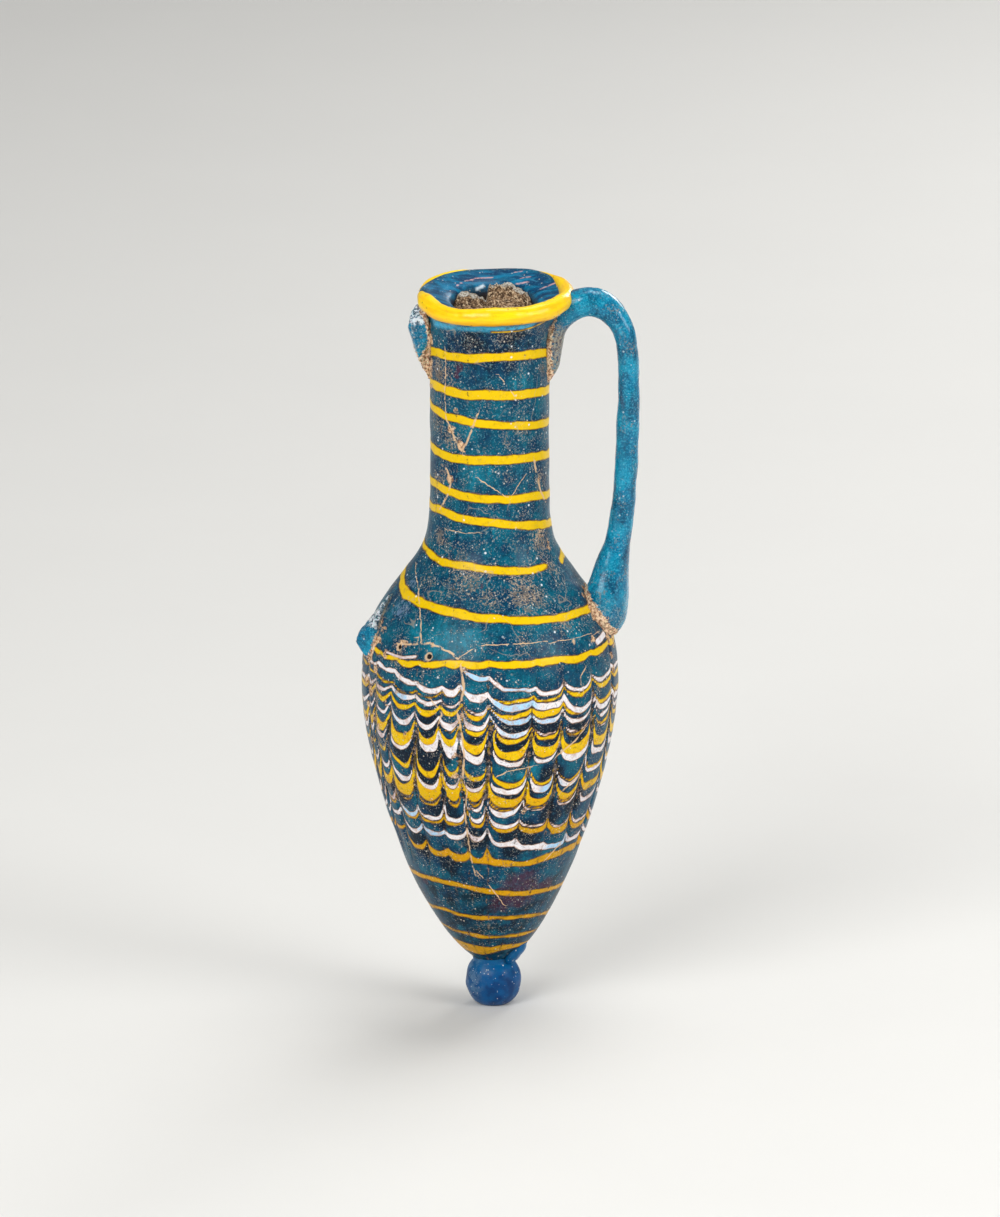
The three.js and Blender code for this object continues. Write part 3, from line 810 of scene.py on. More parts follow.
# Crust along the joints: it fades with the distance past the trail's sides, which counts the
# distance from the trail's middle line as a share of its half sizes.
def jointCrust(places):
    mark = np.zeros(places.shape[:-1])
    for turn, strength, reach, stations in jointTrails:
        angle = np.radians(turn)
        out = places[..., 0] * np.sin(angle) - places[..., 1] * np.cos(angle)
        side = places[..., 0] * np.cos(angle) + places[..., 1] * np.sin(angle)
        number = np.arange(len(stations))
        at = np.linspace(0, number[-1], 6 * len(stations))
        for radius, height, deep, wide in zip(*(np.interp(at, number, s) for s in zip(*stations))):
            across = np.hypot(out - radius, places[..., 2] - height) / deep
            gap = np.maximum(np.hypot(across, side / wide) - 1, 0) * min(deep, wide)
            mark = np.maximum(mark, strength * np.exp(-((gap / reach) ** 2)))
    return mark


# Distance of every place to the nearest crack line, with its side as sign, and that line's width.
def crackMarks(places, normals, far=3.0):
    signed, near, width = (np.full(places.shape[:-1], value) for value in (far, far, 0.1))
    for points, half in crackLines:
        for way, gap in stretches(wallUnder(points), places):
            apart = np.linalg.norm(gap, axis=-1)
            side = np.sign((np.cross(way, normals) * gap).sum(-1))
            closer = apart < near
            near = np.where(closer, apart, near)
            signed = np.where(closer, side * apart, signed)
            width = np.where(closer, half, width)
    return signed, near, width


# The outline as one smooth line by its own length, then rows spaced by a step that depends on
# where they lie: fine on the combed body and the rim, coarse inside.
def outlineRows():
    outside = vessel["outerWall"] + vessel["rim"]
    stations = np.array([(radius, height) for height, radius in outside + vessel["innerWall"]])
    length = np.concatenate([[0], np.cumsum(np.linalg.norm(np.diff(stations, axis=0), axis=1))])
    at = np.linspace(0, length[-1], 6000)
    radius, height = (smoothThrough(length, line, at) for line in stations.T)
    crown = length[len(outside) - 1]
    step = np.where(height < vessel["bodyTop"], vessel["bodyStep"], vessel["neckStep"])
    step = np.where(height < vessel["footTop"], vessel["footStep"], step)
    step = np.where(height > vessel["neckTop"], vessel["rimStep"], step)
    deep = easeStep(crown + 7, crown + 30, at)
    step = np.where(at > crown, vessel["dishStep"] + deep * vessel["innerStep"], step)
    rows = spacedBy(step, at)
    outer = 1 - easeStep(crown - 1.5, crown + 0.5, rows)
    return np.interp(rows, at, radius), np.interp(rows, at, height), outer, rows - crown


def columnTurns():
    at = np.linspace(-180, 180, 7201)
    front = easeStep(-112, -88, at) * (1 - easeStep(88, 112, at))
    finer = vessel["frontStep"] - vessel["backStep"]
    return spacedBy(vessel["backStep"] + finer * front, at)[:-1]


# How deep inside the yellow and the white threads each place lies, in mm.
def threadMarks(spot, turn, height, rise):
    onBody = easeStep(38, 44, height) * (1 - easeStep(90, 98, height))
    drift = waver(spot, vessel["threadDrift"])
    pulled = height - rise + drift * (0.45 + 0.55 * onBody)
    swell = waver(spot, vessel["threadSwell"])
    knots = {kind: windingKnots(rows) for kind, rows in windings.items()}
    every = plainKnots(plainRows) + knots["yellow"] + plainKnots(footRows)
    yellow = insideWinding(every, turn, pulled) + swell
    split = -insideWinding(knots["split"], turn, pulled)
    white = insideWinding(knots["white"], turn, pulled) - swell
    inside = {"yellow": np.minimum(yellow, split), "white": white}
    for kind, lines in scraps.items():
        for points, half in lines:
            inside[kind] = np.maximum(inside[kind], half - lineAway(points, spot))
    return inside


# The outline turned round the axis, pushed in and out by grooves, crust, cracks, pits and a
# hand's unevenness, and then shifted as a whole. Its marks say what the glass looks like.
def makeVesselMesh():
    radius, height, outer, past = outlineRows()
    turn, height = np.meshgrid(columnTurns(), height)
    radius, outer, past = (np.broadcast_to(a[:, None], turn.shape) for a in (radius, outer, past))
    angle = np.radians(turn)
    flat = np.stack([radius * np.sin(angle), -radius * np.cos(angle), height], -1)
    normals = np.stack([np.sin(angle), -np.cos(angle), 0 * angle], -1)
    near, rise, strength = combing(turn, height, np.maximum(radius, 5))
    depth = smoothThrough([30, 38, 44, 60, 80, 90, 96], [0, 0.5, 1, 1, 1, 0.7, 0], height)
    dent = np.exp(-((near / vessel["grooveWide"]) ** 2)) * depth * strength * outer
    reach = pullAt(height, 3) * strength * (0.6 + 0.32 * ripples(flat, 74, 6))
    threads = threadMarks(flat, turn, height, rise)
    signed, crackNear, crackWide = crackMarks(flat, normals)
    joints = jointCrust(stray(flat)) * (0.72 + 0.45 * ripples(flat, 75, 4))
    seen = {kind: patchMark(kind, flat) * outer for kind in patches}
    crust = np.clip(np.maximum(seen["crust"], joints), 0, 1) * outer
    uneven = waver(flat, vessel["waver"]) * easeStep(20, 40, height)
    crumbs = crumbRise(crust, flat, 0.12, (0.16, 7, 1.5))
    crumbs = crumbs - vessel["crackDepth"] * (crackNear < crackWide)
    proud = easeStep(-0.1, 0.5, threads["yellow"]) * easeStep(92, 97, height)
    proud = proud * vessel["threadProud"]
    sunk = vessel["grooveDepth"] * dent + vessel["pitDepth"] * seen["pit"]
    spot = stray(flat + (outer * (uneven + crumbs + proud - sunk))[..., None] * normals)
    onDish = (past > -2.5) & (past < 12) & (spot[..., 1] > -12)
    gleamAway = lineAway(gleam[0], flat) / gleam[1]
    marks = seen | {
        "yellow": np.where(outer > 0.5, threads["yellow"], -9),
        "white": np.where(outer > 0.5, threads["white"], -9),
        "groove": np.where(outer > 0.5, np.clip(reach - near, -1.5, 1.5), -1.5),
        "crack": np.where(outer > 0.5, signed, 3),
        "crackNear": np.where(outer > 0.5, crackNear, 3),
        "crackWide": crackWide,
        "crust": crust,
        "outer": outer,
        "deep": easeStep(5, 9, past),
        "gleam": (1 - easeStep(0.4, 1.5, gleamAway)) * outer,
    }
    for kind in ("pink", "white", "blue"):
        marks[kind + "Streak"] = streakMark(kind, spot) * onDish
    return gridMesh("vessel", spot, marks)


glassTones = {
    "blue": (4, 52, 84), "teal": (2, 96, 118), "clear": (14, 130, 154), "night": (4, 15, 28),
    "plum": (78, 40, 58), "gleam": (70, 170, 206), "brown": (112, 84, 66),
    "yellow": (232, 192, 2), "yellowEdge": (142, 100, 4), "ochre": (202, 150, 4),
    "golden": (224, 156, 0), "white": (234, 231, 234), "whiteEdge": (190, 154, 136),
    "palest": (168, 210, 240), "lilac": (196, 178, 190), "soot": (16, 16, 24),
    "earth": (142, 112, 90), "greyBloomAndSheen": (112, 138, 166), "bloom": (62, 140, 162),
    "dust": (180, 158, 132), "dustDark": (120, 106, 92), "grainShade": (6, 9, 15),
    "grain": (222, 212, 196), "glint": (226, 232, 236), "crust": (222, 186, 146),
    "crustDark": (128, 90, 66), "crustPale": (244, 234, 218), "pitShade": (16, 10, 14),
    "dishBlue": (2, 58, 94), "dishTeal": (4, 112, 150), "dishPale": (60, 140, 176),
    "throat": (60, 46, 36), "pinkStreak": (206, 160, 158), "whiteStreak": (206, 222, 232),
}
# Size of the lumps in mm, detail and roughness.
glassNoises = {
    "mottle": (5, 5, 0.6), "fine": (0.8, 3), "crumb": (1.5, 6, 0.7), "sand": (0.5, 3, 0.65),
    "rind": (0.75, 4, 0.7), "region": (5.5, 3), "clump": (2.2, 4, 0.65),
}
glassGloss = {
    "Specular IOR Level": 0.1, "Coat Weight": 0.05, "Coat Roughness": 0.05, "IOR": 1.5,
}


# Dark blue glass mottled with turquoise, nearly black in places, and plum here and there.
def paintGlass(b):
    bright, dark = b.mark("bright"), b.mark("dark")
    teal = b.ease(0.36, 0.66, b.mottle * 0.7 + b.streak * 0.3 + bright * 0.3 - dark * 0.3)
    b.look = b.mix(teal, "blue", "teal")
    b.coat(b.ease(0.5, 0.75, b.streak * 0.8 + bright * 0.35 - dark * 0.4) * 0.7, "clear")
    low = b.ease(60, 42, b.height) * 0.3 + b.ease(38, 33, b.height) * 0.35
    b.coat(b.ease(0.45, 0.7, b.noise(3.4, 5) * 0.75 + dark * 0.5 + low * 0.3) * 0.85, "night")
    b.coat(b.ease(0.46, 0.7, b.mark("plum") * 0.6 + b.noise(1.8, 4) * 0.5) * 0.75, "plum")
    b.coat(b.ease(0.35, 0.75, b.fine) * 0.3, "night")
    b.coat(b.mark("gleam") * b.ease(0.2, 0.5, b.streak), "gleam")


# Threads, by how deep inside them a place lies: a dim outline, then yellow, then white.
def paintThreads(b):
    fray = (b.fine - 0.5) * 0.2 + (b.noise(2.6, 2) - 0.5) * 0.16
    yellow, white = b.mark("yellow") + fray, b.mark("white") + fray
    outline = b.ease(-0.42, -0.08, yellow) + b.ease(-0.42, -0.08, white)
    b.coat(b.ease(0, 1, outline) * 0.65, b.mix(b.ease(0.48, 0.6, b.crumb), "night", "brown"))
    sunny = b.mix(b.ease(70, 46, b.height), "yellow", "ochre")
    golden = b.ease(0.46, 0.62, b.noise(1.9, 3)) * b.ease(90, 80, b.height)
    sunny = b.mix(golden * 0.5, sunny, "golden")
    sunny = b.mix(b.ease(0.5, 0.78, b.crumb) * 0.5, sunny, "yellowEdge")
    b.coat(b.ease(-0.07, 0.05, yellow), b.mix(b.ease(0.02, 0.28, yellow), "yellowEdge", sunny))
    milk = b.mix(b.ease(0.3, 0.8, b.mark("pale") + (b.streak - 0.5) * 0.8), "white", "palest")
    milk = b.mix(b.ease(0.46, 0.7, b.crumb + b.worn * 0.14) * 0.7, milk, "whiteEdge")
    milk = b.mix(b.worn * 0.45, milk, "lilac")
    b.coat(b.ease(-0.07, 0.05, white), b.mix(b.ease(0.0, 0.22, white), "whiteEdge", milk))
    return yellow, white


# Grime in the strokes, grey bloom that is partly a painted reflection, dust, dark specks of
# painted grain shade, grains, painted glints and hair cracks. The threads of the neck and the
# shoulder stay bare.
def paintDirtAndPaintedLight(b, threadIn):
    earth = b.mix(b.ease(0.5, 0.62, b.noise(1.1, 5, 0.7)), "soot", "earth")
    grooveIn = b.ease(-0.2, 0.2, b.ragged(b.mark("groove"), crumb=2.4))
    b.coat(grooveIn * 0.88, earth)
    high = b.ease(92, 106, b.height)
    # grey bloom, with a painted reflection on the left of the shoulder
    greyBloomAndSheenIn = b.ease(-0.02, 0.1, b.ragged(b.mark("greyBloomAndSheen") * 0.3 - 0.26, rind=0.8, clump=0.5))
    b.coat(greyBloomAndSheenIn * (0.62 - threadIn * 0.45), "greyBloomAndSheen")
    speck = b.ease(0.53, 0.64, b.sand) * (0.2 + high * 0.35 + b.worn * 0.2)
    b.coat(speck * (1 - threadIn), "bloom")
    cover = b.worn * 0.26 + high * 0.08 - 0.17
    cover = b.ragged(cover, region=0.8, clump=0.9, sand=2.3, rind=0.9)
    bare = 1 - threadIn * b.ease(84, 92, b.height) * 0.8
    dustIn = b.ease(0.08, 0.3, cover) * bare
    b.coat(dustIn * (0.5 + b.worn * 0.4), b.mix(b.ease(0.42, 0.58, b.clump), "dust", "dustDark"))
    # painted shade: dark specks that stand for the shadows of grains
    b.coat(b.ease(0.46, 0.36, b.rind) * (0.4 + b.worn * 0.3) * bare, "grainShade")
    grains = b.ease(0.44, 0.6, b.region * 0.5 + b.clump * 0.5 + b.worn * 0.1)
    grains = b.most(b.grains(0.36, 0.32) * grains, b.grains(0.7, 0.07))
    b.coat(grains * 0.75 * bare, "grain")
    b.coat(b.grains(1.05, 0.045) * b.ease(70, 100, b.height) * 0.85, "glint")
    b.coat(b.hairs(9, 3) * b.ease(85, 100, b.height) * 0.4, "dust")
    return grooveIn, greyBloomAndSheenIn, dustIn, grains


# Sandy crust, the cracks, and the pits with a pale ring and their insides in painted shade.
def paintBreaks(b):
    tone = b.mix(b.ease(0.46, 0.6, b.rind), "crust", "crustDark")
    tone = b.mix(b.ease(0.56, 0.68, b.sand) * 0.6, tone, "crustPale")
    crust = b.ragged(b.mark("crust") * 0.66, crumb=1.1, clump=0.8, sand=0.5)
    crustIn = b.ease(0.4, 0.52, crust)
    b.coat(crustIn, tone)
    crackAt = abs(b.mark("crack") + (b.noise(1.6, 3) - 0.5) * 0.9) / b.mark("crackWide")
    crackIn = b.ease(1.35, 0.7, crackAt) * b.ease(1.5, 1.2, b.mark("crackNear"))
    crackIn = crackIn * b.ease(0.36, 0.5, b.noise(1.9, 4))
    b.coat(crackIn * 0.9, "crust")
    pitIn = b.ease(0.5, 0.75, b.mark("pit"))
    b.coat(b.ease(0.05, 0.25, b.mark("pit")) * (1 - pitIn) * 0.8, "crust")
    # painted shade: the inside of each pit is painted nearly black
    b.coat(pitIn, "pitShade")
    return crustIn, crackIn


# Inside the mouth: swirled turquoise, grains, brown in the throat, and the streaks of the dish.
def paintMouth(b):
    swirl = b.noise(1, 4, 0.6, b.scaled(b.place, (0.12, 0.5, 0.5)))
    inside = b.mix(b.ease(0.4, 0.62, swirl), "dishBlue", "dishTeal")
    inside = b.mix(b.ease(0.5, 0.7, b.noise(2, 4)) * 0.4, inside, "night")
    inside = b.mix(b.ease(0.55, 0.68, b.sand) * 0.5, inside, "dishPale")
    inside = b.mix(b.grains(0.6, 0.08) * 0.7, inside, "grain")
    inside = b.mix(b.mark("deep"), inside, "throat")
    b.look = b.mix(b.mark("outer"), inside, b.look)
    b.coat(b.mark("blueStreak") * b.ease(0.4, 0.6, b.crumb) * 0.6, "dishPale")
    for kind in ("pinkStreak", "whiteStreak"):
        b.coat(b.mark(kind) * b.ease(0.36, 0.5, b.crumb), kind)


def vesselMaterial():
    b = Bench("vessel glass", glassTones, glassNoises)
    b.streak = b.noise(1, 4, 0.6, b.scaled(b.place, (0.9, 0.9, 0.22)))
    b.height, b.worn = b.part(b.place, "Z"), b.mark("dust")
    paintGlass(b)
    yellow, white = paintThreads(b)
    grooveIn, greyBloomAndSheenIn, dustIn, grains = paintDirtAndPaintedLight(b, b.ease(-0.1, 0.1, b.most(yellow, white)))
    crustIn, crackIn = paintBreaks(b)
    paintMouth(b)
    rough = 0.33 + 0.1 * b.ease(-0.1, 0.1, white) + 0.5 * crustIn + 0.25 * dustIn + 0.2 * greyBloomAndSheenIn
    relief = b.fine * 0.2 + crustIn * (0.5 + b.fine) + crackIn * 0.4 - grooveIn * 0.3
    relief = relief + grains * 0.25 + dustIn * 0.3 + b.ease(-0.1, 0.2, yellow) * 0.3
    return b.finish({"Roughness": rough, "Normal": b.bump(relief, 0.16, 0.6)} | glassGloss)


addPiece("vessel", makeVesselMesh(), vesselMaterial(), ["vessel_body"])


# A route through places by centripetal Catmull-Rom: straight blends of straight blends, where
# each stretch counts as the square root of its length.
def routeThrough(places, count):
    places = np.asarray(places, float)
    ends = np.vstack([2 * places[0] - places[1], places, 2 * places[-1] - places[-2]])
    stretch = np.linalg.norm(np.diff(ends, axis=0), axis=1) ** 0.5
    at = np.linspace(0, len(places) - 1, count)
    i = np.minimum(at.astype(int), len(places) - 2)
    a, b, c = stretch[i][:, None], stretch[i + 1][:, None], stretch[i + 2][:, None]
    t = (at - i)[:, None] * b

    def blend(first, second, start, long):
        return ((start + long - t) * first + (t - start) * second) / long

    one, two = blend(ends[i], ends[i + 1], -a, a), blend(ends[i + 1], ends[i + 2], 0, b)
    three = blend(ends[i + 2], ends[i + 3], b, c)
    left, right = blend(one, two, -a, a + b), blend(two, three, 0, b + c)
    return blend(left, right, 0, b), at


# A tube along a route: each ring is an ellipse, "deep" along the side direction and "wide"
# square to it and to the route. "squareness" over 2 fills its corners.
def tubeGrid(route, wide, deep, side, sides, squareness=2.0):
    along = np.gradient(route, axis=0)
    along /= np.linalg.norm(along, axis=1)[:, None]
    side = np.broadcast_to(side, route.shape)
    across = np.cross(side, along)
    across /= np.linalg.norm(across, axis=1)[:, None]
    angle = np.linspace(0, 2 * np.pi, sides, endpoint=False)
    c, s = np.cos(angle), np.sin(angle)
    c, s = (np.sign(w) * np.abs(w) ** (2 / squareness) for w in (c, s))
    outward = across[:, None] * c[:, None] + side[:, None] * s[:, None]
    return (
        route[:, None]
        + across[:, None] * (wide[:, None] * c)[..., None]
        + side[:, None] * (deep[:, None] * s)[..., None]
    ), outward


# A trail's tube: its stations stand in the upright plane of its turn.
def trailGrid(shape, squareness=2.3):
    out, up, wide, deep = np.array(shape["stations"], float).T
    turn = math.radians(shape["turn"])
    places = np.stack([out * math.sin(turn), -out * math.cos(turn), up], -1)
    route, at = routeThrough(places, shape["rings"])
    knots = np.arange(len(out))
    side = np.array([math.cos(turn), math.sin(turn), 0.0])
    wide, deep = smoothThrough(knots, wide, at), smoothThrough(knots, deep, at)
    grid, outward = tubeGrid(route, wide, deep, side, shape["sides"], squareness)
    return grid, outward, np.broadcast_to(at[:, None], grid.shape[:2])


# A tube round the mouth, its two half sizes times a thinning that follows the turn.
def makeCoilMesh():
    turn = np.linspace(coil["from"], coil["to"], coil["rings"])
    start, behind = easeStep(*coil["start"], turn), easeStep(*coil["behind"], turn)
    worn = easeStep(*coil["wornFrom"], turn) * (1 - easeStep(*coil["wornTo"], turn))
    end = 1 - easeStep(*coil["end"], turn)
    thin = (1 - 0.62 * behind) * (0.62 + 0.38 * start) * (0.08 + 0.92 * end) * (1 - 0.62 * worn)
    ring = coil["ring"] + 0.7 * behind
    angle = np.radians(turn)
    height = vessel["rimTop"] - 0.3 - 0.6 * behind
    route = stray(np.stack([ring * np.sin(angle), -ring * np.cos(angle), height], -1))
    swell = 1 + 0.05 * np.sin(turn / 23) + 0.05 * np.sin(turn / 9 + 2)
    wide, deep = coil["wide"] * thin * swell, coil["high"] * thin * swell
    grid, outward = tubeGrid(route, wide, deep, np.array([0.0, 0, 1]), coil["sides"])
    uneven = waver(grid, coil["waver"]) * thin[:, None]
    return gridMesh("coil", grid + outward * uneven[..., None])


yellowTones = {
    "main": (250, 212, 2), "deep": (242, 184, 2), "underShade": (222, 138, 4), "stain": (206, 132, 8),
    "spot": (126, 84, 20),
}
yellowGloss = {
    "Specular IOR Level": 0.28, "Coat Weight": 0.12, "Coat Roughness": 0.2,
    "Subsurface Weight": 0.06, "Subsurface Radius": (1.0, 0.5, 0.1), "Subsurface Scale": 0.0015,
}


# Opaque yellow glass with streaks along the trail, painted shade in a deeper, warmer yellow
# where it faces down, stained and spotted.
def yellowMaterial():
    b = Bench("yellow trail", yellowTones)
    uv = b.add("ShaderNodeTexCoord", out="UV")
    streak = b.noise(1, 5, 0.65, b.scaled(uv, (9, 9, 1)))
    worn, spots = b.noise(1.1, 4), b.grains(1.1, 0.12)
    b.look = b.mix(b.ease(0.38, 0.66, streak), "main", "deep")
    # painted shade: where the trail faces down its yellow turns deeper and more orange
    underShade = b.ease(-0.1, -0.9, b.part(b.add("ShaderNodeNewGeometry", out="Normal"), "Z"))
    b.coat(underShade * 0.6, "underShade")
    b.coat(b.ease(0.6, 0.72, b.noise(2.2, 4)) * 0.35, "stain")
    b.coat(spots * 0.6, "spot")
    rough = 0.3 + 0.2 * b.ease(0.5, 0.7, worn)
    normal = b.bump(streak * 0.5 + worn * 0.15 - spots * 0.4, 0.14, 0.5)
    return b.finish({"Roughness": rough, "Normal": normal} | yellowGloss)


addPiece("coil", makeCoilMesh(), yellowMaterial(), ["rim_coil"])


turquoiseTones = {
    "deep": (0, 72, 104), "main": (0, 112, 148), "light": (8, 156, 188), "dim": (4, 28, 44),
    "sheen": (70, 176, 200), "worn": (150, 140, 120), "plum": (66, 48, 72),
    "moss": (160, 148, 126), "mossDark": (86, 66, 60), "grain": (176, 204, 212),
    "broken": (222, 228, 232), "brokenDark": (44, 76, 92), "crust": (232, 204, 170),
    "crustDark": (136, 98, 74),
}
turquoiseNoises = {"crumb": (1.3, 6, 0.68), "fine": (0.8, 3), "sand": (0.45, 3, 0.6)}
turquoiseGloss = {
    "Specular IOR Level": 0.25, "Coat Roughness": 0.08, "IOR": 1.5, "Subsurface Weight": 0.3,
    "Subsurface Radius": (0.1, 0.7, 1.0), "Subsurface Scale": 0.003,
}


# Translucent turquoise with streaks along the trail and worn, plum and mossy weathering; then
# grains, the chalky face of a break, on the shoulder root's top partly a painted highlight, and
# crust at the joints.
def turquoiseMaterial():
    b = Bench("turquoise glass", turquoiseTones, turquoiseNoises)
    uv = b.add("ShaderNodeTexCoord", out="UV")
    streak = b.noise(1, 5, 0.6, b.scaled(uv, (4.5, 17, 1)))
    b.look = b.mix(b.ease(0.34, 0.6, streak), "deep", "main")
    b.coat(b.ease(0.44, 0.64, b.noise(5, 4)) * 0.55, "light")
    b.coat(b.ease(0.46, 0.36, b.sand) * 0.4, "dim")
    b.coat(b.ease(0.53, 0.64, b.sand) * 0.5, "sheen")
    worn = b.ease(0.5, 0.62, b.crumb * 0.5 + b.noise(4, 3) * 0.5)
    b.coat(worn * b.ease(0.5, 0.6, b.noise(0.6, 3, 0.6)) * 0.5, "worn")
    b.coat(b.ease(0.6, 0.68, b.noise(1, 3, 0.6, b.scaled(uv, (3.1, 11, 1)))) * 0.55, "plum")
    moss = b.mark("moss")
    mossIn = b.ease(0.5, 0.6, moss * 0.18 + b.crumb * 0.35 + b.sand * 0.5) * moss
    b.coat(mossIn * 0.85, b.mix(b.ease(0.44, 0.6, b.noise(0.7, 4, 0.7)), "moss", "mossDark"))
    grains = b.grains(0.42, 0.16) * b.ease(0.46, 0.62, b.noise(3, 4))
    grains = b.most(grains, b.grains(0.9, 0.05))
    b.coat(grains * 0.7, "grain")
    # the white of a break; on the shoulder root's top it is partly a painted highlight
    brokenIn = b.ease(0.3, 0.5, b.ragged(b.mark("broken") * 0.6, crumb=1.3, sand=0.9))
    chalk = b.mix(b.ease(0.47, 0.55, b.noise(0.9, 4, 0.7)), "broken", "brokenDark")
    b.coat(brokenIn * 0.92, chalk)
    crustIn = b.ease(0.34, 0.48, b.ragged(b.mark("crust") * 0.7, crumb=1.1, sand=0.6))
    b.coat(crustIn, b.mix(b.ease(0.4, 0.62, b.noise(0.55, 4)), "crust", "crustDark"))
    relief = b.fine * 0.2 + crustIn * (0.5 + b.fine) + streak * 0.4 + brokenIn * b.fine
    sockets = {
        "Roughness": 0.22 + 0.5 * crustIn + 0.3 * mossIn + 0.1 * b.ease(0.5, 0.8, b.fine),
        "Coat Weight": 0.12 - 0.12 * crustIn,
        "Normal": b.bump(relief + grains * 0.3, 0.15, 0.5),
    }
    return b.finish(sockets | turquoiseGloss)


turquoise = turquoiseMaterial()


# How far outside the vessel's wall each place lies, in mm.
def gapToWall(places):
    return np.hypot(places[..., 0], places[..., 1]) - outerRadius(places[..., 2])


# The handle's tube, with crust where it comes near the wall: a wider reach at its lower end.
def makeHandleMesh():
    grid, outward, at = trailGrid(handleShape)
    low = easeStep(13, 15, at)
    crust = 1 - easeStep(0.6 + 0.6 * low, 2.6 + 2.2 * low, gapToWall(grid))
    moss = np.maximum(low * 0.55, 1 - easeStep(2.8, 4.2, at))
    rise = waver(grid, handleShape["waver"]) + crumbRise(crust, grid, 0.1, (0.16, 33, 1.5))
    grid = grid + outward * rise[..., None]
    return gridMesh("handle", grid, {"crust": crust, "moss": moss})


addPiece("handle", makeHandleMesh(), turquoise, ["handle"])


# A broken root: a tube in which whatever stands out past a flat fracture face is moved onto it.
# Each face has a direction, and how far along it from the root's middle it cuts, in mm.
def brokenTube(shape):
    grid, outward, at = trailGrid(shape)
    grid = grid + outward * waver(grid, shape["waver"])[..., None]
    broken = np.zeros(grid.shape[:-1])
    for way, reach in shape["faces"]:
        way = np.array(way, float) / np.linalg.norm(way)
        past = np.maximum((grid - np.array(shape["middle"])) @ way - reach, 0)
        grid = grid - (past * 0.92)[..., None] * way
        broken = np.maximum(broken, easeStep(0.05, 0.5, past))
    return grid, outward, at, broken


def makeNeckRootMesh():
    grid, outward, at, broken = brokenTube(neckRoot)
    foot = 1 - easeStep(1.5, 2.1, at + 0.35 * ripples(grid, 39, 2.5))
    crust = np.maximum(1 - easeStep(0.3, 1.6, gapToWall(grid)), foot * 0.9)
    grid = grid + outward * crumbRise(crust, grid, 0.15, (0.2, 40, 1.3))[..., None]
    broken = np.maximum(easeStep(3.1, 3.5, at), broken * 0.4)
    return gridMesh("neck_root", grid, {"crust": crust, "broken": broken, "moss": 0.5 + 0 * at})


def makeShoulderRootMesh():
    grid, _, at, _ = brokenTube(shoulderRoot)
    gap, upper = gapToWall(grid), 1 - easeStep(1.7, 2.5, at)
    crust = (1 - easeStep(0.3, 1.6, gap)) * (0.9 - 0.6 * upper)
    # the white of its broken top is partly a painted highlight
    marks = {"crust": crust, "broken": upper * easeStep(0.4, 1.1, gap), "moss": upper}
    return gridMesh("shoulder_root", grid, marks)


addPiece("neck_root", makeNeckRootMesh(), turquoise, ["handle_stub_neck"])
shoulderMesh = makeShoulderRootMesh()
addPiece("shoulder_root", shoulderMesh, turquoise, ["handle_stub_shoulder"])

knob = {
    "radius": 6.65, "centre": 6.35, "depth": 7.1, "squareness": 2.4, "shift": 0.9, "flat": 3.7,
    "neck": 4.95, "top": 12.2, "rows": 90, "columns": 120, "waver": [(0.1, 51, 5)],
}
smear = {
    "place": (6.3, -1.8, 14.2), "size": (2, 4.4, 4.2), "tilt": 36, "rows": 40, "columns": 64,
    "waver": [(0.15, 52, 3)],
}


# A ball turned round its own axis: above its widest ring a sphere, below it a fuller curve that
# is cut flat at the ground, and on top a waist that meets the body.
def makeBallMesh():
    height = np.linspace(0, knob["top"], knob["rows"])
    below = np.maximum(knob["centre"] - height, 0) / knob["depth"]
    above = np.clip(np.maximum(height - knob["centre"], 0) / knob["radius"], 0, 0.999)
    power = knob["squareness"]
    radius = knob["radius"] * (1 - below**power) ** (1 / power) * np.sqrt(1 - above**2)
    waist = smoothThrough([0, 9.6, 11.2, 12.2], [0, 0, 1, 1], height)
    radius = radius * (1 - waist) + waist * np.maximum(radius, knob["neck"])
    radius = np.concatenate([[knob["flat"] * 0.5, knob["flat"] * 0.96], radius[1:]])[:, None]
    height = np.concatenate([[0, 0], height[1:]])[:, None]
    angle = np.radians(np.linspace(-180, 180, knob["columns"], endpoint=False))
    outward = np.stack([np.sin(angle), -np.cos(angle), 0 * angle], -1)
    upright = np.stack([knob["shift"] + 0 * height, 0 * height, height], -1)
    grid = upright + radius[..., None] * outward
    push = waver(grid, knob["waver"]) * easeStep(0.6, 2.5, grid[..., 2])
    return gridMesh("ball", grid + push[..., None] * outward)


# The smear of the knob's glass up the body: a tilted ellipsoid.
def makeSmearMesh():
    lat = np.linspace(-np.pi / 2, np.pi / 2, smear["rows"] + 2)[1:-1][:, None]
    lon = np.radians(np.linspace(0, 360, smear["columns"], endpoint=False))[None]
    level = np.sin(lat) + 0 * lon
    unit = np.stack([np.cos(lat) * np.cos(lon), np.cos(lat) * np.sin(lon), level], -1)
    c, s = (way(math.radians(smear["tilt"])) for way in (math.cos, math.sin))
    pad = unit * np.array(smear["size"]) @ np.array([[c, 0, -s], [0, 1, 0], [s, 0, c]])
    pad += np.array(smear["place"])
    return gridMesh("smear", pad + unit * waver(pad, smear["waver"])[..., None])


knobTones = {
    "main": (0, 78, 132), "deep": (0, 50, 98), "edge": (2, 96, 142), "pale": (120, 160, 186),
    "grain": (206, 212, 210),
}
knobGloss = {
    "Specular IOR Level": 0.16, "Coat Weight": 0.06, "Coat Roughness": 0.2,
    "Subsurface Weight": 0.3, "Subsurface Radius": (0.1, 0.5, 1.0), "Subsurface Scale": 0.003,
}


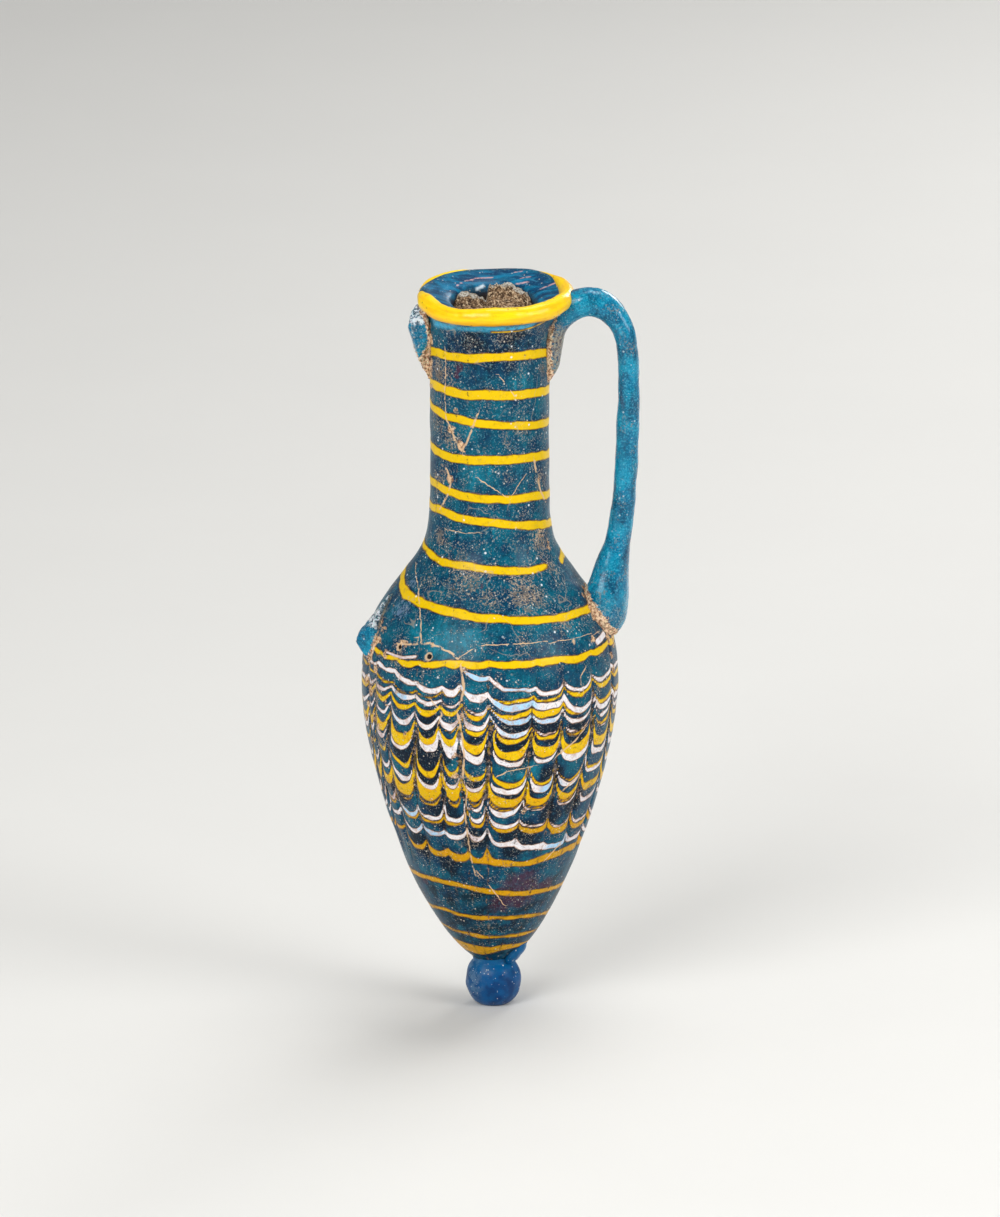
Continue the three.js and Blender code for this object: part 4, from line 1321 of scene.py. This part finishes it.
# Mid blue glass, lighter towards the body, with a pale weathered left side and grains.
def knobMaterial():
    b = Bench("knob glass", knobTones)
    b.look = b.mix(b.ease(0.35, 0.7, b.noise(3, 4)), "main", "deep")
    b.coat(b.ease(7.2, 11.5, b.part(b.place, "Z")) * 0.5, "edge")
    left = b.ease(-0.5, -4.6, b.part(b.place, "X")) * b.ease(0.42, 0.6, b.noise(1.5, 6, 0.7))
    b.coat(left * 0.4, "pale")
    grains = b.grains(0.45, 0.2) * b.ease(0.46, 0.6, b.noise(2.4, 4))
    grains = b.most(grains, b.grains(0.8, 0.05))
    b.coat(grains * 0.85, "grain")
    fine = b.noise(0.7, 4)
    rough, normal = 0.3 + 0.3 * left + 0.1 * fine, b.bump(fine * 0.6 + grains * 0.6, 0.12, 0.5)
    return b.finish({"Roughness": rough, "Normal": normal} | knobGloss)


knobMesh = joinedMesh("knob", [makeBallMesh(), makeSmearMesh()])
addPiece("knob", knobMesh, knobMaterial(), ["base_knob"])

# What is left of the sandy core, standing broken in the throat.
residue = {
    "radius": 10.1,
    "foot": 166.0,
    "level": 172.8,
    "ridgeAt": 5.6,  # mm behind the axis
    "across": [-10.1, -9.6, -8.8, -7.4, -5.2, -3.3, -1.9, -1.2, 0.3, 3.7, 6, 7.6, 9.4, 10.1],
    "ridge": [1.8, 3.2, 4.2, 5, 4.3, 3.7, 3.3, 6.8, 7.1, 7, 5.9, 5, 3.6, 2],
    "behind": [-17, -9, -6, -3.6, -1.6, 0, 1.6, 3, 5],  # from the ridge, front to back
    "fall": [0.05, 0.2, 0.4, 0.55, 0.85, 1, 0.9, 0.5, 0.3],
    "rings": 90,
    "columns": 220,
}


# A plug with an uneven top: its height is a level, plus a ridge whose height follows a line across
# the mouth and whose fall follows a curve from front to back, plus crumbs.
def makeResidueMesh():
    share = np.linspace(1, 0.004, residue["rings"])
    share = np.concatenate([[0.5, 0.98, 1, 1], share[1:]])[:, None]
    angle = np.radians(np.linspace(-180, 180, residue["columns"], endpoint=False))
    ragged = residue["radius"] * (1 - 0.012 * (1 + np.sin(7 * angle) * np.sin(3 * angle + 1)))
    x, y = share * ragged * np.sin(angle), -share * ragged * np.cos(angle)
    flat = np.stack([x, y, 0 * x], -1)
    ridge = smoothThrough(residue["across"], residue["ridge"], x)
    jag = np.abs(ripples(flat, 61, 3.6)) * 0.6 + 0.14 * ripples(flat, 62, 1.4)
    back = y - residue["ridgeAt"] - 0.5 * ripples(flat, 63, 5)
    fall = smoothThrough(residue["behind"], residue["fall"], back)
    top = residue["level"] + (ridge - jag) * fall + 0.25 * ripples(flat, 64, 2) * (1.2 - fall)
    z = np.where(np.arange(len(share))[:, None] < 2, residue["foot"], top)
    z[2] = residue["foot"] + 1
    grid = np.stack([x, y, z], -1)
    grid[3:, :, 2] += 0.05 * ripples(grid, 65, 0.9)[3:]
    return gridMesh("core_residue", stray(grid), {"crest": easeStep(0.86, 0.99, fall)})


residueTones = {
    "dark": (58, 42, 30), "main": (138, 110, 82), "light": (196, 172, 140),
    "hollow": (30, 22, 18), "chalk": (196, 194, 184), "chalkDark": (116, 112, 104),
}


# Brown sand with light grains and dark hollows, chalky along the crest.
def residueMaterial():
    b = Bench("sandy core crust", residueTones)
    crumb, fine = b.noise(1.2, 6, 0.7), b.noise(0.5, 4, 0.6)
    b.look = b.mix(b.ease(0.4, 0.58, crumb), "dark", "main")
    b.coat(b.ease(0.52, 0.62, fine), "light")
    b.coat(b.ease(0.46, 0.38, fine) * 0.8, "hollow")
    pale = b.ease(0.22, 0.4, b.mark("crest") * 0.42 + (crumb - 0.5) * 1.3)
    b.coat(pale * 0.85, b.mix(b.ease(0.44, 0.58, fine), "chalk", "chalkDark"))
    normal = b.bump(crumb * 0.8 + fine * 0.5, 0.3, 0.8)
    sockets = {"Roughness": 0.85 - 0.1 * pale, "Specular IOR Level": 0.2, "Normal": normal}
    return b.finish(sockets)


addPiece("core_residue", makeResidueMesh(), residueMaterial())

stage = {
    "floorHalf": 6.0,
    "floorTones": {"light": (225, 224, 220), "dark": (212, 211, 208)},
    "world": 0.25,
    "aimHeight": 0.09,
    "lights": [  # place, size in metres, power in watts
        ((-0.6, -0.95, 0.75), 0.7, 12.0),
        ((0.85, -0.5, 0.45), 0.5, 5.5),
        ((0.15, 0.25, 1.1), 0.6, 5.5),
        ((0.5, 0.95, 0.5), 0.4, 3.5),
    ],
}


def makeFloor():
    half = stage["floorHalf"]
    mesh = bpy.data.meshes.new("floor")
    corners = [(-half, -half, 0), (half, -half, 0), (half, half, 0), (-half, half, 0)]
    mesh.from_pydata(corners, [], [(0, 1, 2, 3)])
    floor = placeObject("floor", mesh)
    b = Bench("pale floor", stage["floorTones"])
    b.look = b.mix(b.noise(60, 3) * 0.25, "light", "dark")
    mesh.materials.append(b.finish({"Roughness": 0.6}))


# Square softboxes, each turned towards a point over the origin.
def makeLights():
    world = bpy.data.worlds.new("studio")
    world.use_nodes = True
    background = world.node_tree.nodes["Background"].inputs
    background["Color"].default_value = (1, 1, 1, 1)
    background["Strength"].default_value = stage["world"]
    bpy.context.scene.world = world
    for i, (place, size, power) in enumerate(stage["lights"]):
        data = bpy.data.lights.new(f"softbox_{i}", "AREA")
        data.shape = "SQUARE"
        data.size = size
        data.energy = power
        light = placeObject(f"softbox_{i}", data)
        x, y, z = place[0], place[1], place[2] - stage["aimHeight"]
        light.location = place
        light.rotation_euler = (math.atan2(math.hypot(x, y), z), 0, math.atan2(y, x) + math.pi / 2)


makeFloor()
makeLights()
print("stage made")
